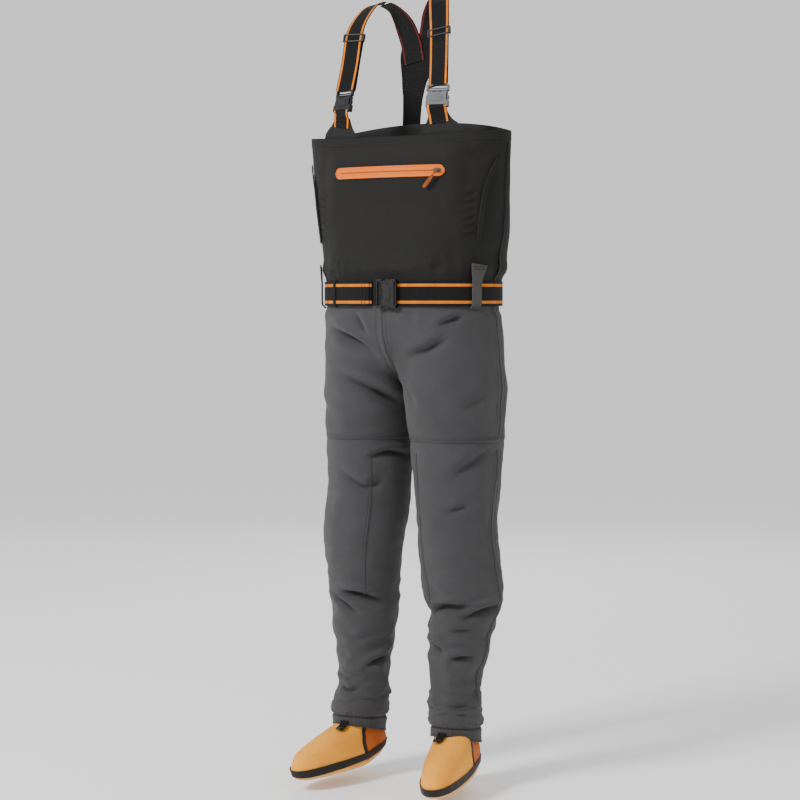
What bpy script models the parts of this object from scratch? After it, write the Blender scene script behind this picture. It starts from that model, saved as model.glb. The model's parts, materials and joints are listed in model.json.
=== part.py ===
"""Chest waders: bib, suspenders, belt, trouser legs, gravel guards and neoprene socks.

Heights are measured from the soles.  +X is the wearer's left, -Y is the front.  Everything hangs from one
empty, which puts the frame's origin where the shoulder straps hang, HANG_HEIGHT above the soles.
"""
import math
from collections import namedtuple

import bmesh
import bpy
from mathutils import Matrix, Vector

for old in list(bpy.data.objects):
    bpy.data.objects.remove(old, do_unlink=True)

# ---------------------------------------------------------------- driving dimensions, metres
HANG_HEIGHT = 1.494
GAP = 0.0003
FABRIC = 0.0025
NEOPRENE = 0.0045

BIB_BOTTOM = 0.905
BIB_TOP = 1.2305
BELT_TOP = 0.955
BIB_FRONT_DIP = -0.008
BIB_BACK_RISE = 0.028
CROTCH = 0.745
KNEE_TOP = 0.525
KNEE_BOTTOM = 0.425
SHIN_BOTTOM = 0.130
GUARD_BOTTOM = 0.068
GUARD_SLOPE = 0.015
LEG_FULLNESS = {"left": 1.02, "right": 0.985}

HIP_PIVOT = (0.0975, 0.0, 0.830)
KNEE_PIVOT = (0.1045, 0.003, 0.475)
ANKLE_PIVOT = (0.109, -0.012, 0.098)

# One cross-section: its height, centre, half width, and depth in front of and behind the centre.
Section = namedtuple("Section", "z x y wide front back")

TORSO = (
    Section(0.905, 0.0, 0.012, 0.177, 0.127, 0.111),
    Section(0.955, 0.0, 0.012, 0.177, 0.127, 0.111),
    Section(1.050, 0.0, 0.012, 0.198, 0.114, 0.090),
    Section(1.150, 0.0, 0.006, 0.209, 0.098, 0.074),
    Section(1.2305, 0.0, 0.000, 0.2145, 0.087, 0.066),
)
LEG = (
    Section(0.745, 0.0965, 0.014, 0.0925, 0.114, 0.107),
    Section(0.640, 0.0965, 0.014, 0.0860, 0.099, 0.096),
    Section(0.537, 0.0978, 0.009, 0.0805, 0.086, 0.086),
    Section(0.439, 0.1060, 0.001, 0.0765, 0.081, 0.081),
    Section(0.322, 0.1120, 0.010, 0.0680, 0.070, 0.070),
    Section(0.244, 0.1060, 0.004, 0.0565, 0.060, 0.060),
    Section(0.166, 0.1040, 0.000, 0.0480, 0.052, 0.052),
    Section(0.127, 0.1060, -0.008, 0.0515, 0.056, 0.059),
    Section(0.088, 0.1090, -0.013, 0.0505, 0.054, 0.063),
    Section(0.068, 0.1090, -0.013, 0.0485, 0.051, 0.061),
)
# Horizontal slices of the sock; its long axis is turned out by SPLAY about the ankle.
SOCK = (
    Section(0.0063, 0.0, 0.0, 0.0410, 0.188, 0.040),
    Section(0.0180, 0.0, 0.0, 0.0435, 0.196, 0.050),
    Section(0.0320, 0.0, 0.0, 0.0430, 0.190, 0.0535),
    Section(0.0460, 0.0, 0.0, 0.0415, 0.165, 0.0535),
    Section(0.0600, 0.0, 0.0, 0.0390, 0.122, 0.0480),
    Section(0.0710, 0.0, 0.0, 0.0360, 0.074, 0.0400),
    Section(0.0800, 0.0, 0.0, 0.0345, 0.046, 0.0370),
    Section(0.0950, 0.0, 0.0, 0.0360, 0.040, 0.0380),
    Section(0.1220, 0.0, 0.0, 0.0380, 0.040, 0.0390),
)
SPLAY = {"left": math.radians(11.0), "right": math.radians(10.0)}
SOLE_THICK = 0.006
HEEL_SEAM = math.radians(33.0)

TORSO_POWER = 2.3
LEG_POWER = 2.0
SOCK_POWER = 2.4

WEBBING = 0.0024
STRAP_WIDE = 0.040
BELT_WIDE = 0.047
BELT_Z = 0.927
BELT_STANDOFF = 0.0012

ZIP_Z = 1.158
ZIP_RADIUS = 0.600
ZIP_CENTRE = (0.004, 0.5015)
ZIP_HALF_LENGTH = 0.120
ZIP_HALF_ANGLE = ZIP_HALF_LENGTH / ZIP_RADIUS
ZIP_TALL = 0.022

ZIP_LAMINATE = 0.0020
SLIDER_BACK = 0.009
SLIDER_FRONT = 0.006
SLIDER_TALL = 0.009
SLIDER_THICK = 0.0037
SLIDER_TOP = 0.0042
PULLER_EYE_HEIGHT = 0.0072
PULLER_REACH = 0.028
PULLER_DROP = 0.033
PULLER_WIDE = 0.0065
PULLER_THICK = 0.0028
BAG_DEPTH = 0.150
BAG_BEHIND_ZIP = 0.012
BAG_HALF_ANGLE = 0.17
BAG_THICK = 0.0030

WELT_WIDE = 0.012
WELT_THICK = 0.0022
WELT_LIFT = 0.0026
# Height and angle round the bib, from the pocket's lower end up.
WELT_LINE = ((1.033, 333.0), (1.070, 332.0), (1.118, 333.5), (1.150, 338.0), (1.178, 344.5))

SIDES = {"left": 1.0, "right": -1.0}

COLOURS = {
    "bib_fabric": ((0.027, 0.025, 0.023), 0.75),
    "leg_fabric": ((0.066, 0.066, 0.070), 0.80),
    "webbing_black": ((0.012, 0.011, 0.010), 0.70),
    "webbing_striped": ((0.55, 0.27, 0.06), 0.65),
    "buckle_black": ((0.020, 0.020, 0.022), 0.40),
    "zip_orange": ((0.80, 0.24, 0.03), 0.50),
    "puller_rust": ((0.38, 0.10, 0.02), 0.55),
    "loop_grey": ((0.080, 0.080, 0.075), 0.70),
    "neoprene_orange": ((0.80, 0.40, 0.10), 0.75),
    "neoprene_rust": ((0.60, 0.20, 0.06), 0.75),
    "lining_dark": ((0.030, 0.030, 0.032), 0.85),
}


# ---------------------------------------------------------------- placing
def material(name):
    found = bpy.data.materials.get(name)
    if found:
        return found
    colour, roughness = COLOURS[name]
    made = bpy.data.materials.new(name)
    made.use_nodes = True
    shader = made.node_tree.nodes["Principled BSDF"]
    shader.inputs["Base Color"].default_value = (*colour, 1.0)
    shader.inputs["Roughness"].default_value = roughness
    shader.inputs["Metallic"].default_value = 0.0
    return made


def pivot(name, point, parent=None):
    """An empty on a joint's axis, which the pieces of that body hang from."""
    empty = bpy.data.objects.new(name, None)
    bpy.context.scene.collection.objects.link(empty)
    base = Vector(parent["floor_point"]) if parent else Vector((0.0, 0.0, HANG_HEIGHT))
    empty["floor_point"] = tuple(point)
    empty.parent = parent
    empty.location = Vector(point) - base
    return empty


def add(name, bm, colour, parent):
    """Turn a bmesh drawn in floor heights into an object whose origin is its parent's pivot."""
    bmesh.ops.recalc_face_normals(bm, faces=bm.faces)
    bmesh.ops.translate(bm, verts=bm.verts, vec=-Vector(parent["floor_point"]))
    mesh = bpy.data.meshes.new(name)
    bm.to_mesh(mesh)
    bm.free()
    mesh.materials.append(material(colour))
    mesh.shade_smooth()
    mesh.set_sharp_from_angle(angle=math.radians(35.0))
    made = bpy.data.objects.new(name, mesh)
    bpy.context.scene.collection.objects.link(made)
    made.parent = parent
    return made


def cut(target, boxes, parent):
    """Cut boxes, each given as its centre, size and turn, out of a finished object."""
    for centre, size, turn in boxes:
        bm = bmesh.new()
        bmesh.ops.create_cube(bm, size=1.0)
        shape = Matrix.Translation(centre) @ turn.to_4x4() @ Matrix.Diagonal((*size, 1.0))
        bmesh.ops.transform(bm, matrix=shape, verts=bm.verts)
        cutter = add(f"{target.name}_cutter", bm, "lining_dark", parent)
        cutter.hide_render = True
        cutter.display_type = "WIRE"
        bore = target.modifiers.new("cut", "BOOLEAN")
        bore.operation = "DIFFERENCE"
        bore.object = cutter


# ---------------------------------------------------------------- surfaces
def between(sections, z):
    """The section at height z, on a smooth curve through the given ones (ordered either way)."""
    rows = sorted(sections)
    z = min(max(z, rows[0].z), rows[-1].z)
    i = max(k for k, row in enumerate(rows[:-1]) if row.z <= z)
    a, b = rows[i], rows[i + 1]
    before, after = rows[max(i - 1, 0)], rows[min(i + 2, len(rows) - 1)]
    span = b.z - a.z
    t = (z - a.z) / span
    values = [z]
    for k in range(1, len(a)):
        lead = (b[k] - before[k]) / (b.z - before.z) * span
        trail = (after[k] - a[k]) / (after.z - a.z) * span
        h = t * t * (3 - 2 * t)
        values.append(
            a[k] * (1 - h) + b[k] * h
            + lead * t * (1 - t) ** 2
            - trail * t * t * (1 - t)
        )
    return Section(*values)


def ring_point(section, angle, power, inset=0.0):
    """A point on a section's outline: angle 0 is +X, 90 degrees is the back, 270 the front."""
    c, s = math.cos(angle), math.sin(angle)
    deep = section.back if s > 0 else section.front
    x = (section.wide - inset) * math.copysign(abs(c) ** (2 / power), c)
    y = (deep - inset) * math.copysign(abs(s) ** (2 / power), s)
    return Vector((section.x + x, section.y + y, section.z))


def shell(outer, inner, closed=False):
    """A closed skin between two grids of points, rows of equal length; closed rows join end to end."""
    bm = bmesh.new()
    grids = [[[bm.verts.new(p) for p in row] for row in grid] for grid in (outer, inner)]
    rows, cols = len(outer), len(outer[0])
    steps = cols if closed else cols - 1
    for grid in grids:
        for i in range(rows - 1):
            for j in range(steps):
                k = (j + 1) % cols
                bm.faces.new((grid[i][j], grid[i][k], grid[i + 1][k], grid[i + 1][j]))
    a, b = grids
    for i in (0, rows - 1):
        for j in range(steps):
            k = (j + 1) % cols
            bm.faces.new((a[i][j], a[i][k], b[i][k], b[i][j]))
    if not closed:
        for j in (0, cols - 1):
            for i in range(rows - 1):
                bm.faces.new((a[i][j], a[i + 1][j], b[i + 1][j], b[i][j]))
    return bm


def spread(low, high, count):
    return [low + (high - low) * i / (count - 1) for i in range(count)]


def mirror_x(points, side):
    return [[Vector((p.x * side, p.y, p.z)) for p in row] for row in points]


def tube_panel(sections, heights, angles, power, thick, side=1.0, rise=None, closed=False):
    """Part of a tube's wall, from angle to angle; rise(angle) lifts its last edge."""
    grids = []
    for inset in (0.0, thick):
        rows = []
        for z in heights:
            near_edge = ((z - heights[0]) / (heights[-1] - heights[0])) ** 3 if rise else 0.0
            section = between(sections, z)
            row = []
            for angle in angles:
                lift = near_edge * rise(angle) if rise else 0.0
                row.append(ring_point(section, angle, power, inset) + Vector((0, 0, lift)))
            rows.append(row)
        grids.append(mirror_x(rows, side))
    return shell(grids[0], grids[1], closed)


def ribbon(points, normals, wide, thick):
    """Flat webbing along points; each normal faces away from the wearer, and wide may change."""
    outer, inner = [], []
    widths = [wide] * len(points) if isinstance(wide, float) else wide
    for i, (point, normal, wide) in enumerate(zip(points, normals, widths)):
        along = Vector(points[min(i + 1, len(points) - 1)]) - Vector(points[max(i - 1, 0)])
        across = Vector(normal).cross(along).normalized() * wide / 2
        out = along.cross(across).normalized() * thick / 2
        if out.dot(Vector(normal)) < 0:
            out = -out
        middle = Vector(point)
        outer.append([middle - across + out, middle + across + out])
        inner.append([middle - across - out, middle + across - out])
    return shell(outer, inner)


def block(centre, size, turn=None):
    bm = bmesh.new()
    bmesh.ops.create_cube(bm, size=1.0)
    turn = turn or Matrix.Identity(3)
    shape = Matrix.Translation(centre) @ turn.to_4x4() @ Matrix.Diagonal((*size, 1.0))
    bmesh.ops.transform(bm, matrix=shape, verts=bm.verts)
    return bm


def prism(outline, low, high, place):
    """A flat outline extruded between two depths, then put in its place by a matrix."""
    bm = bmesh.new()
    near = [bm.verts.new(place @ Vector((u, v, low))) for u, v in outline]
    far = [bm.verts.new(place @ Vector((u, v, high))) for u, v in outline]
    bm.faces.new(near)
    bm.faces.new(far)
    for i in range(len(outline)):
        j = (i + 1) % len(outline)
        bm.faces.new((near[i], near[j], far[j], far[i]))
    return bm


# ---------------------------------------------------------------- bodies
frame = pivot("hanging_frame", (0.0, 0.0, HANG_HEIGHT))
bodies = {}
for side, sign in SIDES.items():
    hip = pivot(f"hip_{side}_pivot", (sign * HIP_PIVOT[0], *HIP_PIVOT[1:]), frame)
    knee = pivot(f"knee_{side}_pivot", (sign * KNEE_PIVOT[0], *KNEE_PIVOT[1:]), hip)
    ankle = pivot(f"ankle_{side}_pivot", (sign * ANKLE_PIVOT[0], *ANKLE_PIVOT[1:]), knee)
    bodies[side] = (hip, knee, ankle)


# ---------------------------------------------------------------- bib, hips and legs
def leg_sections(side):
    """The leg's sections for one side: between crotch and calf one leg is fuller than the other."""
    rows = []
    for row in LEG:
        fade = max(0.0, min(1.0, (CROTCH - row.z) / 0.12, (row.z - 0.24) / 0.08))
        k = 1.0 + (LEG_FULLNESS[side] - 1.0) * fade
        rows.append(Section(row.z, row.x, row.y, row.wide * k, row.front * k, row.back * k))
    return tuple(rows)


SEAM = 0.004


def bib():
    heights = [BIB_BOTTOM + GAP, *spread(BELT_TOP, BIB_TOP, 6)]
    front = spread(math.pi + SEAM, 2 * math.pi - SEAM, 17)
    back = spread(SEAM, math.pi - SEAM, 17)
    panels = (("front", front, BIB_FRONT_DIP), ("back", back, BIB_BACK_RISE))
    for face, angles, height in panels:
        rise = lambda a: height * math.sin(a) ** 2
        wall = tube_panel(TORSO, heights, angles, TORSO_POWER, FABRIC, rise=rise)
        add(f"chest_{face}_panel", wall, "bib_fabric", frame)


def hip_panel(side, face):
    """From the waist's quarter outline to the leg's half outline, centre seam first."""
    waist, thigh = between(TORSO, BIB_BOTTOM), between(leg_sections(side), CROTCH)
    turn = 1.0 if face == "back" else -1.0
    columns = 11
    grids = []
    for inset in (0.0, FABRIC):
        rows = []
        for t in spread(0.0, 1.0, 6):
            z = BIB_BOTTOM + (CROTCH - BIB_BOTTOM) * t
            row = []
            for u in spread(0.0, 1.0, columns):
                top = ring_point(waist, turn * (math.pi / 2 * (1 - u) + SEAM), TORSO_POWER, inset)
                low = ring_point(thigh, turn * (math.pi * 0.955 * (1 - u) + SEAM), LEG_POWER, inset)
                point = top.lerp(low, t ** 1.6)
                point.z = z
                if u == 0.0:
                    point.x = 0.0015
                row.append(point)
            rows.append(row)
        grids.append(mirror_x(rows, SIDES[side]))
    add(f"hip_{face}_{side}", shell(*grids), "leg_fabric", frame)


def guard_arch(angle):
    """The guard's hem is higher over the instep and lower behind the heel."""
    return -GUARD_SLOPE * math.sin(angle)


def leg(side):
    sign = SIDES[side]
    sections = leg_sections(side)
    hip, knee, _ = bodies[side]
    halves = {
        "front": spread(math.pi + SEAM, 2 * math.pi - SEAM, 11),
        "back": spread(SEAM, math.pi - SEAM, 11),
    }
    around = spread(0.0, 2 * math.pi * 19 / 20, 20)
    for face, angles in halves.items():
        hip_panel(side, face)
        heights = spread(KNEE_TOP, CROTCH - GAP, 4)
        wall = tube_panel(sections, heights, angles, LEG_POWER, FABRIC, sign)
        add(f"thigh_{face}_{side}", wall, "leg_fabric", hip)
        heights = spread(SHIN_BOTTOM + GAP, KNEE_BOTTOM, 6)
        wall = tube_panel(sections, heights, angles, LEG_POWER, FABRIC, sign)
        add(f"shin_{face}_{side}", wall, "leg_fabric", knee)
    heights = spread(KNEE_BOTTOM + GAP, KNEE_TOP - GAP, 3)
    wall = tube_panel(sections, heights, around, LEG_POWER, FABRIC, sign, closed=True)
    add(f"knee_sleeve_{side}", wall, "leg_fabric", hip)
    heights = spread(SHIN_BOTTOM, GUARD_BOTTOM, 4)
    wall = tube_panel(sections, heights, around, LEG_POWER, FABRIC, sign, guard_arch, closed=True)
    add(f"gravel_guard_{side}", wall, "leg_fabric", knee)


# ---------------------------------------------------------------- socks and lace hooks
def sock_matrix(side):
    """Local sock axes (toe along -Y) to the floor frame: turned out, and moved to the ankle."""
    sign = SIDES[side]
    turn = Matrix.Rotation(sign * SPLAY[side], 4, "Z")
    return Matrix.Translation((sign * ANKLE_PIVOT[0], ANKLE_PIVOT[1] + 0.004, 0.0)) @ turn


def sock(side):
    place = sock_matrix(side)
    ankle = bodies[side][2]
    clear = 0.01
    vamp = spread(math.pi - HEEL_SEAM + clear, 2 * math.pi + HEEL_SEAM - clear, 19)
    pieces = {
        "sock_vamp": (vamp, "neoprene_orange"),
        "sock_heel": (spread(HEEL_SEAM, math.pi - HEEL_SEAM, 7), "neoprene_rust"),
    }
    for name, (angles, colour) in pieces.items():
        grids = []
        for inset in (0.0, NEOPRENE):
            grids.append([[ring_point(s, a, SOCK_POWER, inset) for a in angles] for s in SOCK])
        bm = shell(*grids)
        bmesh.ops.transform(bm, matrix=place, verts=bm.verts)
        add(f"{name}_{side}", bm, colour, ankle)
    around = spread(0.0, 2 * math.pi * 27 / 28, 28)
    outline = [ring_point(SOCK[0], a, SOCK_POWER)[:2] for a in around]
    add(f"sock_sole_{side}", prism(outline, 0.0, SOLE_THICK, place), "neoprene_orange", ankle)


HOOK_WIDE = 0.018
HOOK_THICK = 0.0022
HOOK_HEIGHT = 0.021
HOOK_BEND = (0.0, -0.009, -0.008)
HOOK_TIP = (0.0, -0.025, -0.0145)


def lace_hook(side):
    """The tab that clips on a boot's lace, hung on the front of the guard's hem."""
    sign = SIDES[side]
    hem = between(LEG, GUARD_BOTTOM)
    top = Vector((sign * hem.x, hem.y - hem.front - HOOK_THICK / 2 - 0.0015, GUARD_BOTTOM + HOOK_HEIGHT))
    hinge = pivot(f"lace_hook_{side}_pivot", top, bodies[side][1])
    points = [top, top + Vector(HOOK_BEND), top + Vector(HOOK_TIP)]
    bm = ribbon(points, [(0, -1, 0.6)] * 3, HOOK_WIDE, HOOK_THICK)
    add(f"lace_hook_{side}", bm, "webbing_black", hinge)


# ---------------------------------------------------------------- side-release buckles
BODY_LONG = 0.030
BODY_DEEP = 0.0110
CAVITY_DEEP = 0.0066
CAVITY_LONG = 0.021
WEB_BAR = 0.0045
WALL = 0.0018
SLOT_MARGIN = 0.008
PLATE_LONG = 0.013
PLATE_THICK = 0.0056
PLATE_SLOT = 0.0045
PRONG_WIDE = 0.0065
PRONG_LONG = 0.018
PRONG_THICK = 0.0045
CUT_SPARE = 0.01


def buckle(prefix, centre, turn, wide, parent):
    """Local x across, y through (minus is the outside), z along; the male half is on +z.

    The release slide runs along local z and each prong turns about local y at its root.
    """
    place = Matrix.Translation(centre) @ turn.to_4x4()

    female_centre = place @ Vector((0.0, 0.0, -BODY_LONG / 2))
    body = block(female_centre, (wide, BODY_DEEP, BODY_LONG), turn)
    female = add(f"{prefix}_buckle_female", body, "buckle_black", parent)
    slot_long = BODY_LONG - CAVITY_LONG - WEB_BAR - WALL
    mouth = place @ Vector((0.0, 0.0, -CAVITY_LONG / 2 + 0.001))
    slot = place @ Vector((0.0, 0.0, -BODY_LONG + WEB_BAR + slot_long / 2))
    cuts = [
        (mouth, (wide + CUT_SPARE, CAVITY_DEEP, CAVITY_LONG + 0.002), turn),
        (slot, (wide - SLOT_MARGIN, BODY_DEEP + CUT_SPARE, slot_long), turn),
    ]
    cut(female, cuts, parent)

    male_pivot = pivot(f"{prefix}_release_pivot", place @ Vector((0.0, 0.0, 0.0)), parent)
    middle = place @ Vector((0.0, 0.0, PLATE_LONG / 2 + GAP))
    plate = block(middle, (wide, PLATE_THICK, PLATE_LONG), turn)
    male = add(f"{prefix}_buckle_male", plate, "buckle_black", male_pivot)
    slot = place @ Vector((0.0, 0.0, PLATE_LONG / 2 + 0.001))
    cut(male, [(slot, (wide - SLOT_MARGIN, BODY_DEEP, PLATE_SLOT), turn)], male_pivot)

    for hand, sign in (("a", 1.0), ("b", -1.0)):
        root = place @ Vector((sign * (wide / 2 - PRONG_WIDE), 0.0, -GAP))
        hinge = pivot(f"{prefix}_prong_{hand}_pivot", root, male_pivot)
        x = sign * (wide / 2 - PRONG_WIDE / 2 - 0.0005)
        middle = place @ Vector((x, 0.0, -PRONG_LONG / 2 - 2 * GAP))
        arm = block(middle, (PRONG_WIDE, PRONG_THICK, PRONG_LONG), turn)
        add(f"{prefix}_buckle_prong_{hand}", arm, "buckle_black", hinge)


# ---------------------------------------------------------------- belt
def waist_point(angle, out):
    """A point at belt height, out metres outside the bib, and the direction away from the body."""
    section = between(TORSO, BELT_Z)
    point = ring_point(section, angle, TORSO_POWER)
    step = 0.01
    tangent = ring_point(section, angle + step, TORSO_POWER) - ring_point(section, angle - step, TORSO_POWER)
    normal = tangent.cross(Vector((0, 0, 1))).normalized()
    return point + normal * out, normal


def belt_band(name, start, end, count, out, colour="webbing_striped"):
    points, normals = [], []
    for angle in spread(math.radians(start), math.radians(end), count):
        point, normal = waist_point(angle, out)
        points.append(point)
        normals.append(normal)
    add(name, ribbon(points, normals, BELT_WIDE, WEBBING), colour, frame)


BELT_BUCKLE_ANGLE = 272.4
BELT_BUCKLE_WIDE = 0.054
BELT_BUCKLE_OUT = 0.0090
# Where each length of the belt starts and ends round the waist, in degrees.
BELT_MAIN = (280.6, 560.0)
BELT_ADJUST = (201.0, 265.2)
BELT_TAIL = (218.0, 263.2)
LAP = 0.0006

LOOP_ANGLES = {"left": 341.0, "right": 199.0, "back": 90.0}
LOOP_WIDE = 0.022
LOOP_THICK = 0.0016
LOOP_CLEAR = 0.0030
LOOP_ABOVE = 0.0035
LOOP_FOOT = 0.0090
LOOP_BASE = 0.0032


def belt_loop(name, degrees):
    """A bracket sewn to the bib above and below the belt, standing clear of the webbing."""
    angle = math.radians(degrees)
    point, normal = waist_point(angle, 0.0)
    reach = BELT_STANDOFF + WEBBING + LOOP_CLEAR
    top = reach + LOOP_THICK
    half = BELT_WIDE / 2 + LOOP_ABOVE
    end = half + LOOP_FOOT
    knee = half + LOOP_FOOT * 0.4
    outline = [
        (LOOP_BASE, end), (top, knee), (top, -knee), (LOOP_BASE, -end),
        (LOOP_BASE, -end + LOOP_THICK), (reach, -half), (reach, half), (LOOP_BASE, end - LOOP_THICK),
    ]
    across = normal.cross(Vector((0, 0, 1)))
    axes = Matrix((normal, Vector((0, 0, 1)), across)).transposed()
    place = Matrix.Translation(point) @ axes.to_4x4()
    add(name, prism(outline, -LOOP_WIDE / 2, LOOP_WIDE / 2, place), "loop_grey", frame)


def belt():
    out = BELT_STANDOFF + WEBBING / 2
    belt_band("belt_webbing_main", *BELT_MAIN, 56, out)
    belt_band("belt_webbing_adjust", *BELT_ADJUST, 16, out)
    belt_band("belt_tail", *BELT_TAIL, 12, out + WEBBING + LAP)
    centre, normal = waist_point(math.radians(BELT_BUCKLE_ANGLE), BELT_BUCKLE_OUT)
    up = Vector((0, 0, 1))
    turn = Matrix((up, -normal, up.cross(-normal))).transposed()
    if turn.col[2].dot(Vector((-1, 0, 0))) < 0:
        turn = Matrix((-up, -normal, (-up).cross(-normal))).transposed()
    buckle("belt", centre, turn, BELT_BUCKLE_WIDE, frame)
    for name, degrees in LOOP_ANGLES.items():
        belt_loop(f"belt_loop_{name}", degrees)


# ---------------------------------------------------------------- suspenders
STRAP_FRONT = {
    "left": ((0.1030, -0.0738, 1.3228), (0.0960, -0.0590, 1.372), (0.0840, -0.0360, 1.434),
             (0.0720, -0.0160, 1.475), (0.0665, -0.0060, 1.4885), (0.0600, 0.0070, 1.4925)),
    "right": ((-0.1025, -0.0738, 1.3228), (-0.1005, -0.0580, 1.372), (-0.0980, -0.0430, 1.434),
              (-0.0870, -0.0230, 1.472), (-0.0760, -0.0060, 1.4885), (-0.0600, 0.0070, 1.4925)),
}
FRONT_NORMALS = ((0, -1, 0.3), (0, -1, 0.4), (0, -1, 0.6), (0, -0.6, 1), (0, -0.2, 1), (0, 0, 1))
STRAP_REAR = ((0.0570, 0.0120, 1.4912), (0.0490, 0.0220, 1.4800), (0.0350, 0.0330, 1.4520),
              (0.0225, 0.0395, 1.4185))
REAR_NORMALS = ((0, 0.3, 1), (0, 0.8, 1), (0, 1, 0.5), (0, 1, 0.3))
STEM_WIDE = (0.078, 0.064, 0.040, 0.038, 0.038)
STEM = ((0.000, 0.0404, 1.3970), (-0.008, 0.0410, 1.3800), (-0.022, 0.0490, 1.3100), (-0.036, 0.0695, 1.2640),
        (-0.040, 0.0765, 1.2320))

# The tab sewn to the bib's hem: its foot, its head, and half its outline from the foot up.
TAB_FOOT = (0.1106, -0.0865, 1.2110)
TAB_HEAD = (0.1035, -0.0745, 1.2700)
TAB_TURN = 0.24
TAB_LIFT = 0.0075
TAB_HALF_THICK = 0.0012
TAB_EDGE = ((0.041, -0.016), (0.034, 0.008), (0.024, 0.026), (0.0190, 0.040), (0.0190, 0.0620))
STRAP_BUCKLE = (0.1027, -0.0745, 1.3060)
STRAP_BUCKLE_WIDE = 0.044

ADJUSTER_SIZE = (0.047, 0.0066, 0.016)
ADJUSTER_OPENING = (0.0415, 0.0040, 0.030)
ADJUSTER_PLACE = 0.80


def suspender(side):
    sign = SIDES[side]
    base = Vector((sign * TAB_FOOT[0], TAB_FOOT[1], TAB_FOOT[2]))
    top = Vector((sign * TAB_HEAD[0], TAB_HEAD[1], TAB_HEAD[2]))
    outline = list(TAB_EDGE) + [(-x, z) for x, z in reversed(TAB_EDGE)]
    lean = (top - base).normalized()
    across = Vector((1.0, sign * TAB_TURN, 0.0)).normalized()
    normal = across.cross(lean).normalized()
    axes = Matrix((across, lean, across.cross(lean))).transposed()
    tab = Matrix.Translation(base + normal * TAB_LIFT) @ axes.to_4x4()
    add(f"strap_tab_{side}", prism(outline, -TAB_HALF_THICK, TAB_HALF_THICK, tab), "webbing_black", frame)

    centre = Vector((sign * STRAP_BUCKLE[0], STRAP_BUCKLE[1], STRAP_BUCKLE[2]))
    turn = Matrix((across, -normal, across.cross(-normal))).transposed()
    if turn.col[2].z < 0:
        turn = Matrix((-across, -normal, (-across).cross(-normal))).transposed()
    buckle(f"strap_{side}", centre, turn, STRAP_BUCKLE_WIDE, frame)

    strap = ribbon(STRAP_FRONT[side], FRONT_NORMALS, STRAP_WIDE, WEBBING)
    add(f"strap_front_{side}", strap, "webbing_striped", frame)
    rear = [(sign * x, y, z) for x, y, z in STRAP_REAR]
    add(f"strap_rear_{side}", ribbon(rear, REAR_NORMALS, STRAP_WIDE, WEBBING), "webbing_black", frame)


def adjuster(side):
    """A frame that the strap runs through, free to slide along its straight stretch."""
    a, b = Vector(STRAP_FRONT[side][1]), Vector(STRAP_FRONT[side][2])
    middle = a.lerp(b, ADJUSTER_PLACE)
    along = (b - a).normalized()
    across = Vector((0, -1, 0.5)).cross(along).normalized()
    out = along.cross(across).normalized()
    turn = Matrix((across, out, along)).transposed()
    slide = pivot(f"strap_adjuster_{side}_pivot", middle, frame)
    made = add(f"strap_adjuster_{side}", block(middle, ADJUSTER_SIZE, turn), "buckle_black", slide)
    cut(made, [(middle, ADJUSTER_OPENING, turn)], slide)


# ---------------------------------------------------------------- pockets
def zip_arc(name, radius, thick, start, end, low, high, colour, parent, count=13):
    """A band on the zip's cylinder, angles measured from straight forward, + towards the wearer's left."""
    grids = []
    for r in (radius, radius - thick):
        rows = []
        for z in (low, high):
            row = []
            for a in spread(start, end, count):
                row.append(Vector((ZIP_CENTRE[0] + r * math.sin(a), ZIP_CENTRE[1] - r * math.cos(a), z)))
            rows.append(row)
        grids.append(rows)
    return add(name, shell(*grids), colour, parent)


def pockets():
    low, high = ZIP_Z - ZIP_TALL / 2, ZIP_Z + ZIP_TALL / 2
    band = (-ZIP_HALF_ANGLE, ZIP_HALF_ANGLE, low, high)
    zip_arc("chest_zip_band", ZIP_RADIUS, ZIP_LAMINATE, *band, "zip_orange", frame)
    bag = (-BAG_HALF_ANGLE, BAG_HALF_ANGLE, ZIP_Z - BAG_DEPTH, ZIP_Z + 0.004)
    zip_arc("chest_pocket_bag", ZIP_RADIUS - BAG_BEHIND_ZIP, BAG_THICK, *bag, "lining_dark", frame, 9)

    track = pivot("zip_slider_pivot", (ZIP_CENTRE[0], ZIP_CENTRE[1], ZIP_Z), frame)
    end = (ZIP_HALF_LENGTH - 0.012) / ZIP_RADIUS
    start, stop = end - SLIDER_BACK / ZIP_RADIUS, end + SLIDER_FRONT / ZIP_RADIUS
    extent = (start, stop, ZIP_Z - SLIDER_TALL / 2, ZIP_Z + SLIDER_TALL / 2)
    zip_arc("zip_slider", ZIP_RADIUS + SLIDER_TOP, SLIDER_THICK, *extent, "buckle_black", track, 3)

    r = ZIP_RADIUS + PULLER_EYE_HEIGHT
    eye = Vector((ZIP_CENTRE[0] + r * math.sin(end), ZIP_CENTRE[1] - r * math.cos(end), ZIP_Z + 0.001))
    flip = pivot("zip_puller_pivot", eye, track)
    tangent = Vector((math.cos(end), math.sin(end), 0.0))
    tip = eye - tangent * PULLER_REACH + Vector((0, -0.001, -PULLER_DROP))
    out = Vector((math.sin(end), -math.cos(end), 0.0))
    pull = ribbon([eye, eye.lerp(tip, 0.5), tip], [out] * 3, PULLER_WIDE, PULLER_THICK)
    add("zip_puller", pull, "puller_rust", flip)


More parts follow.
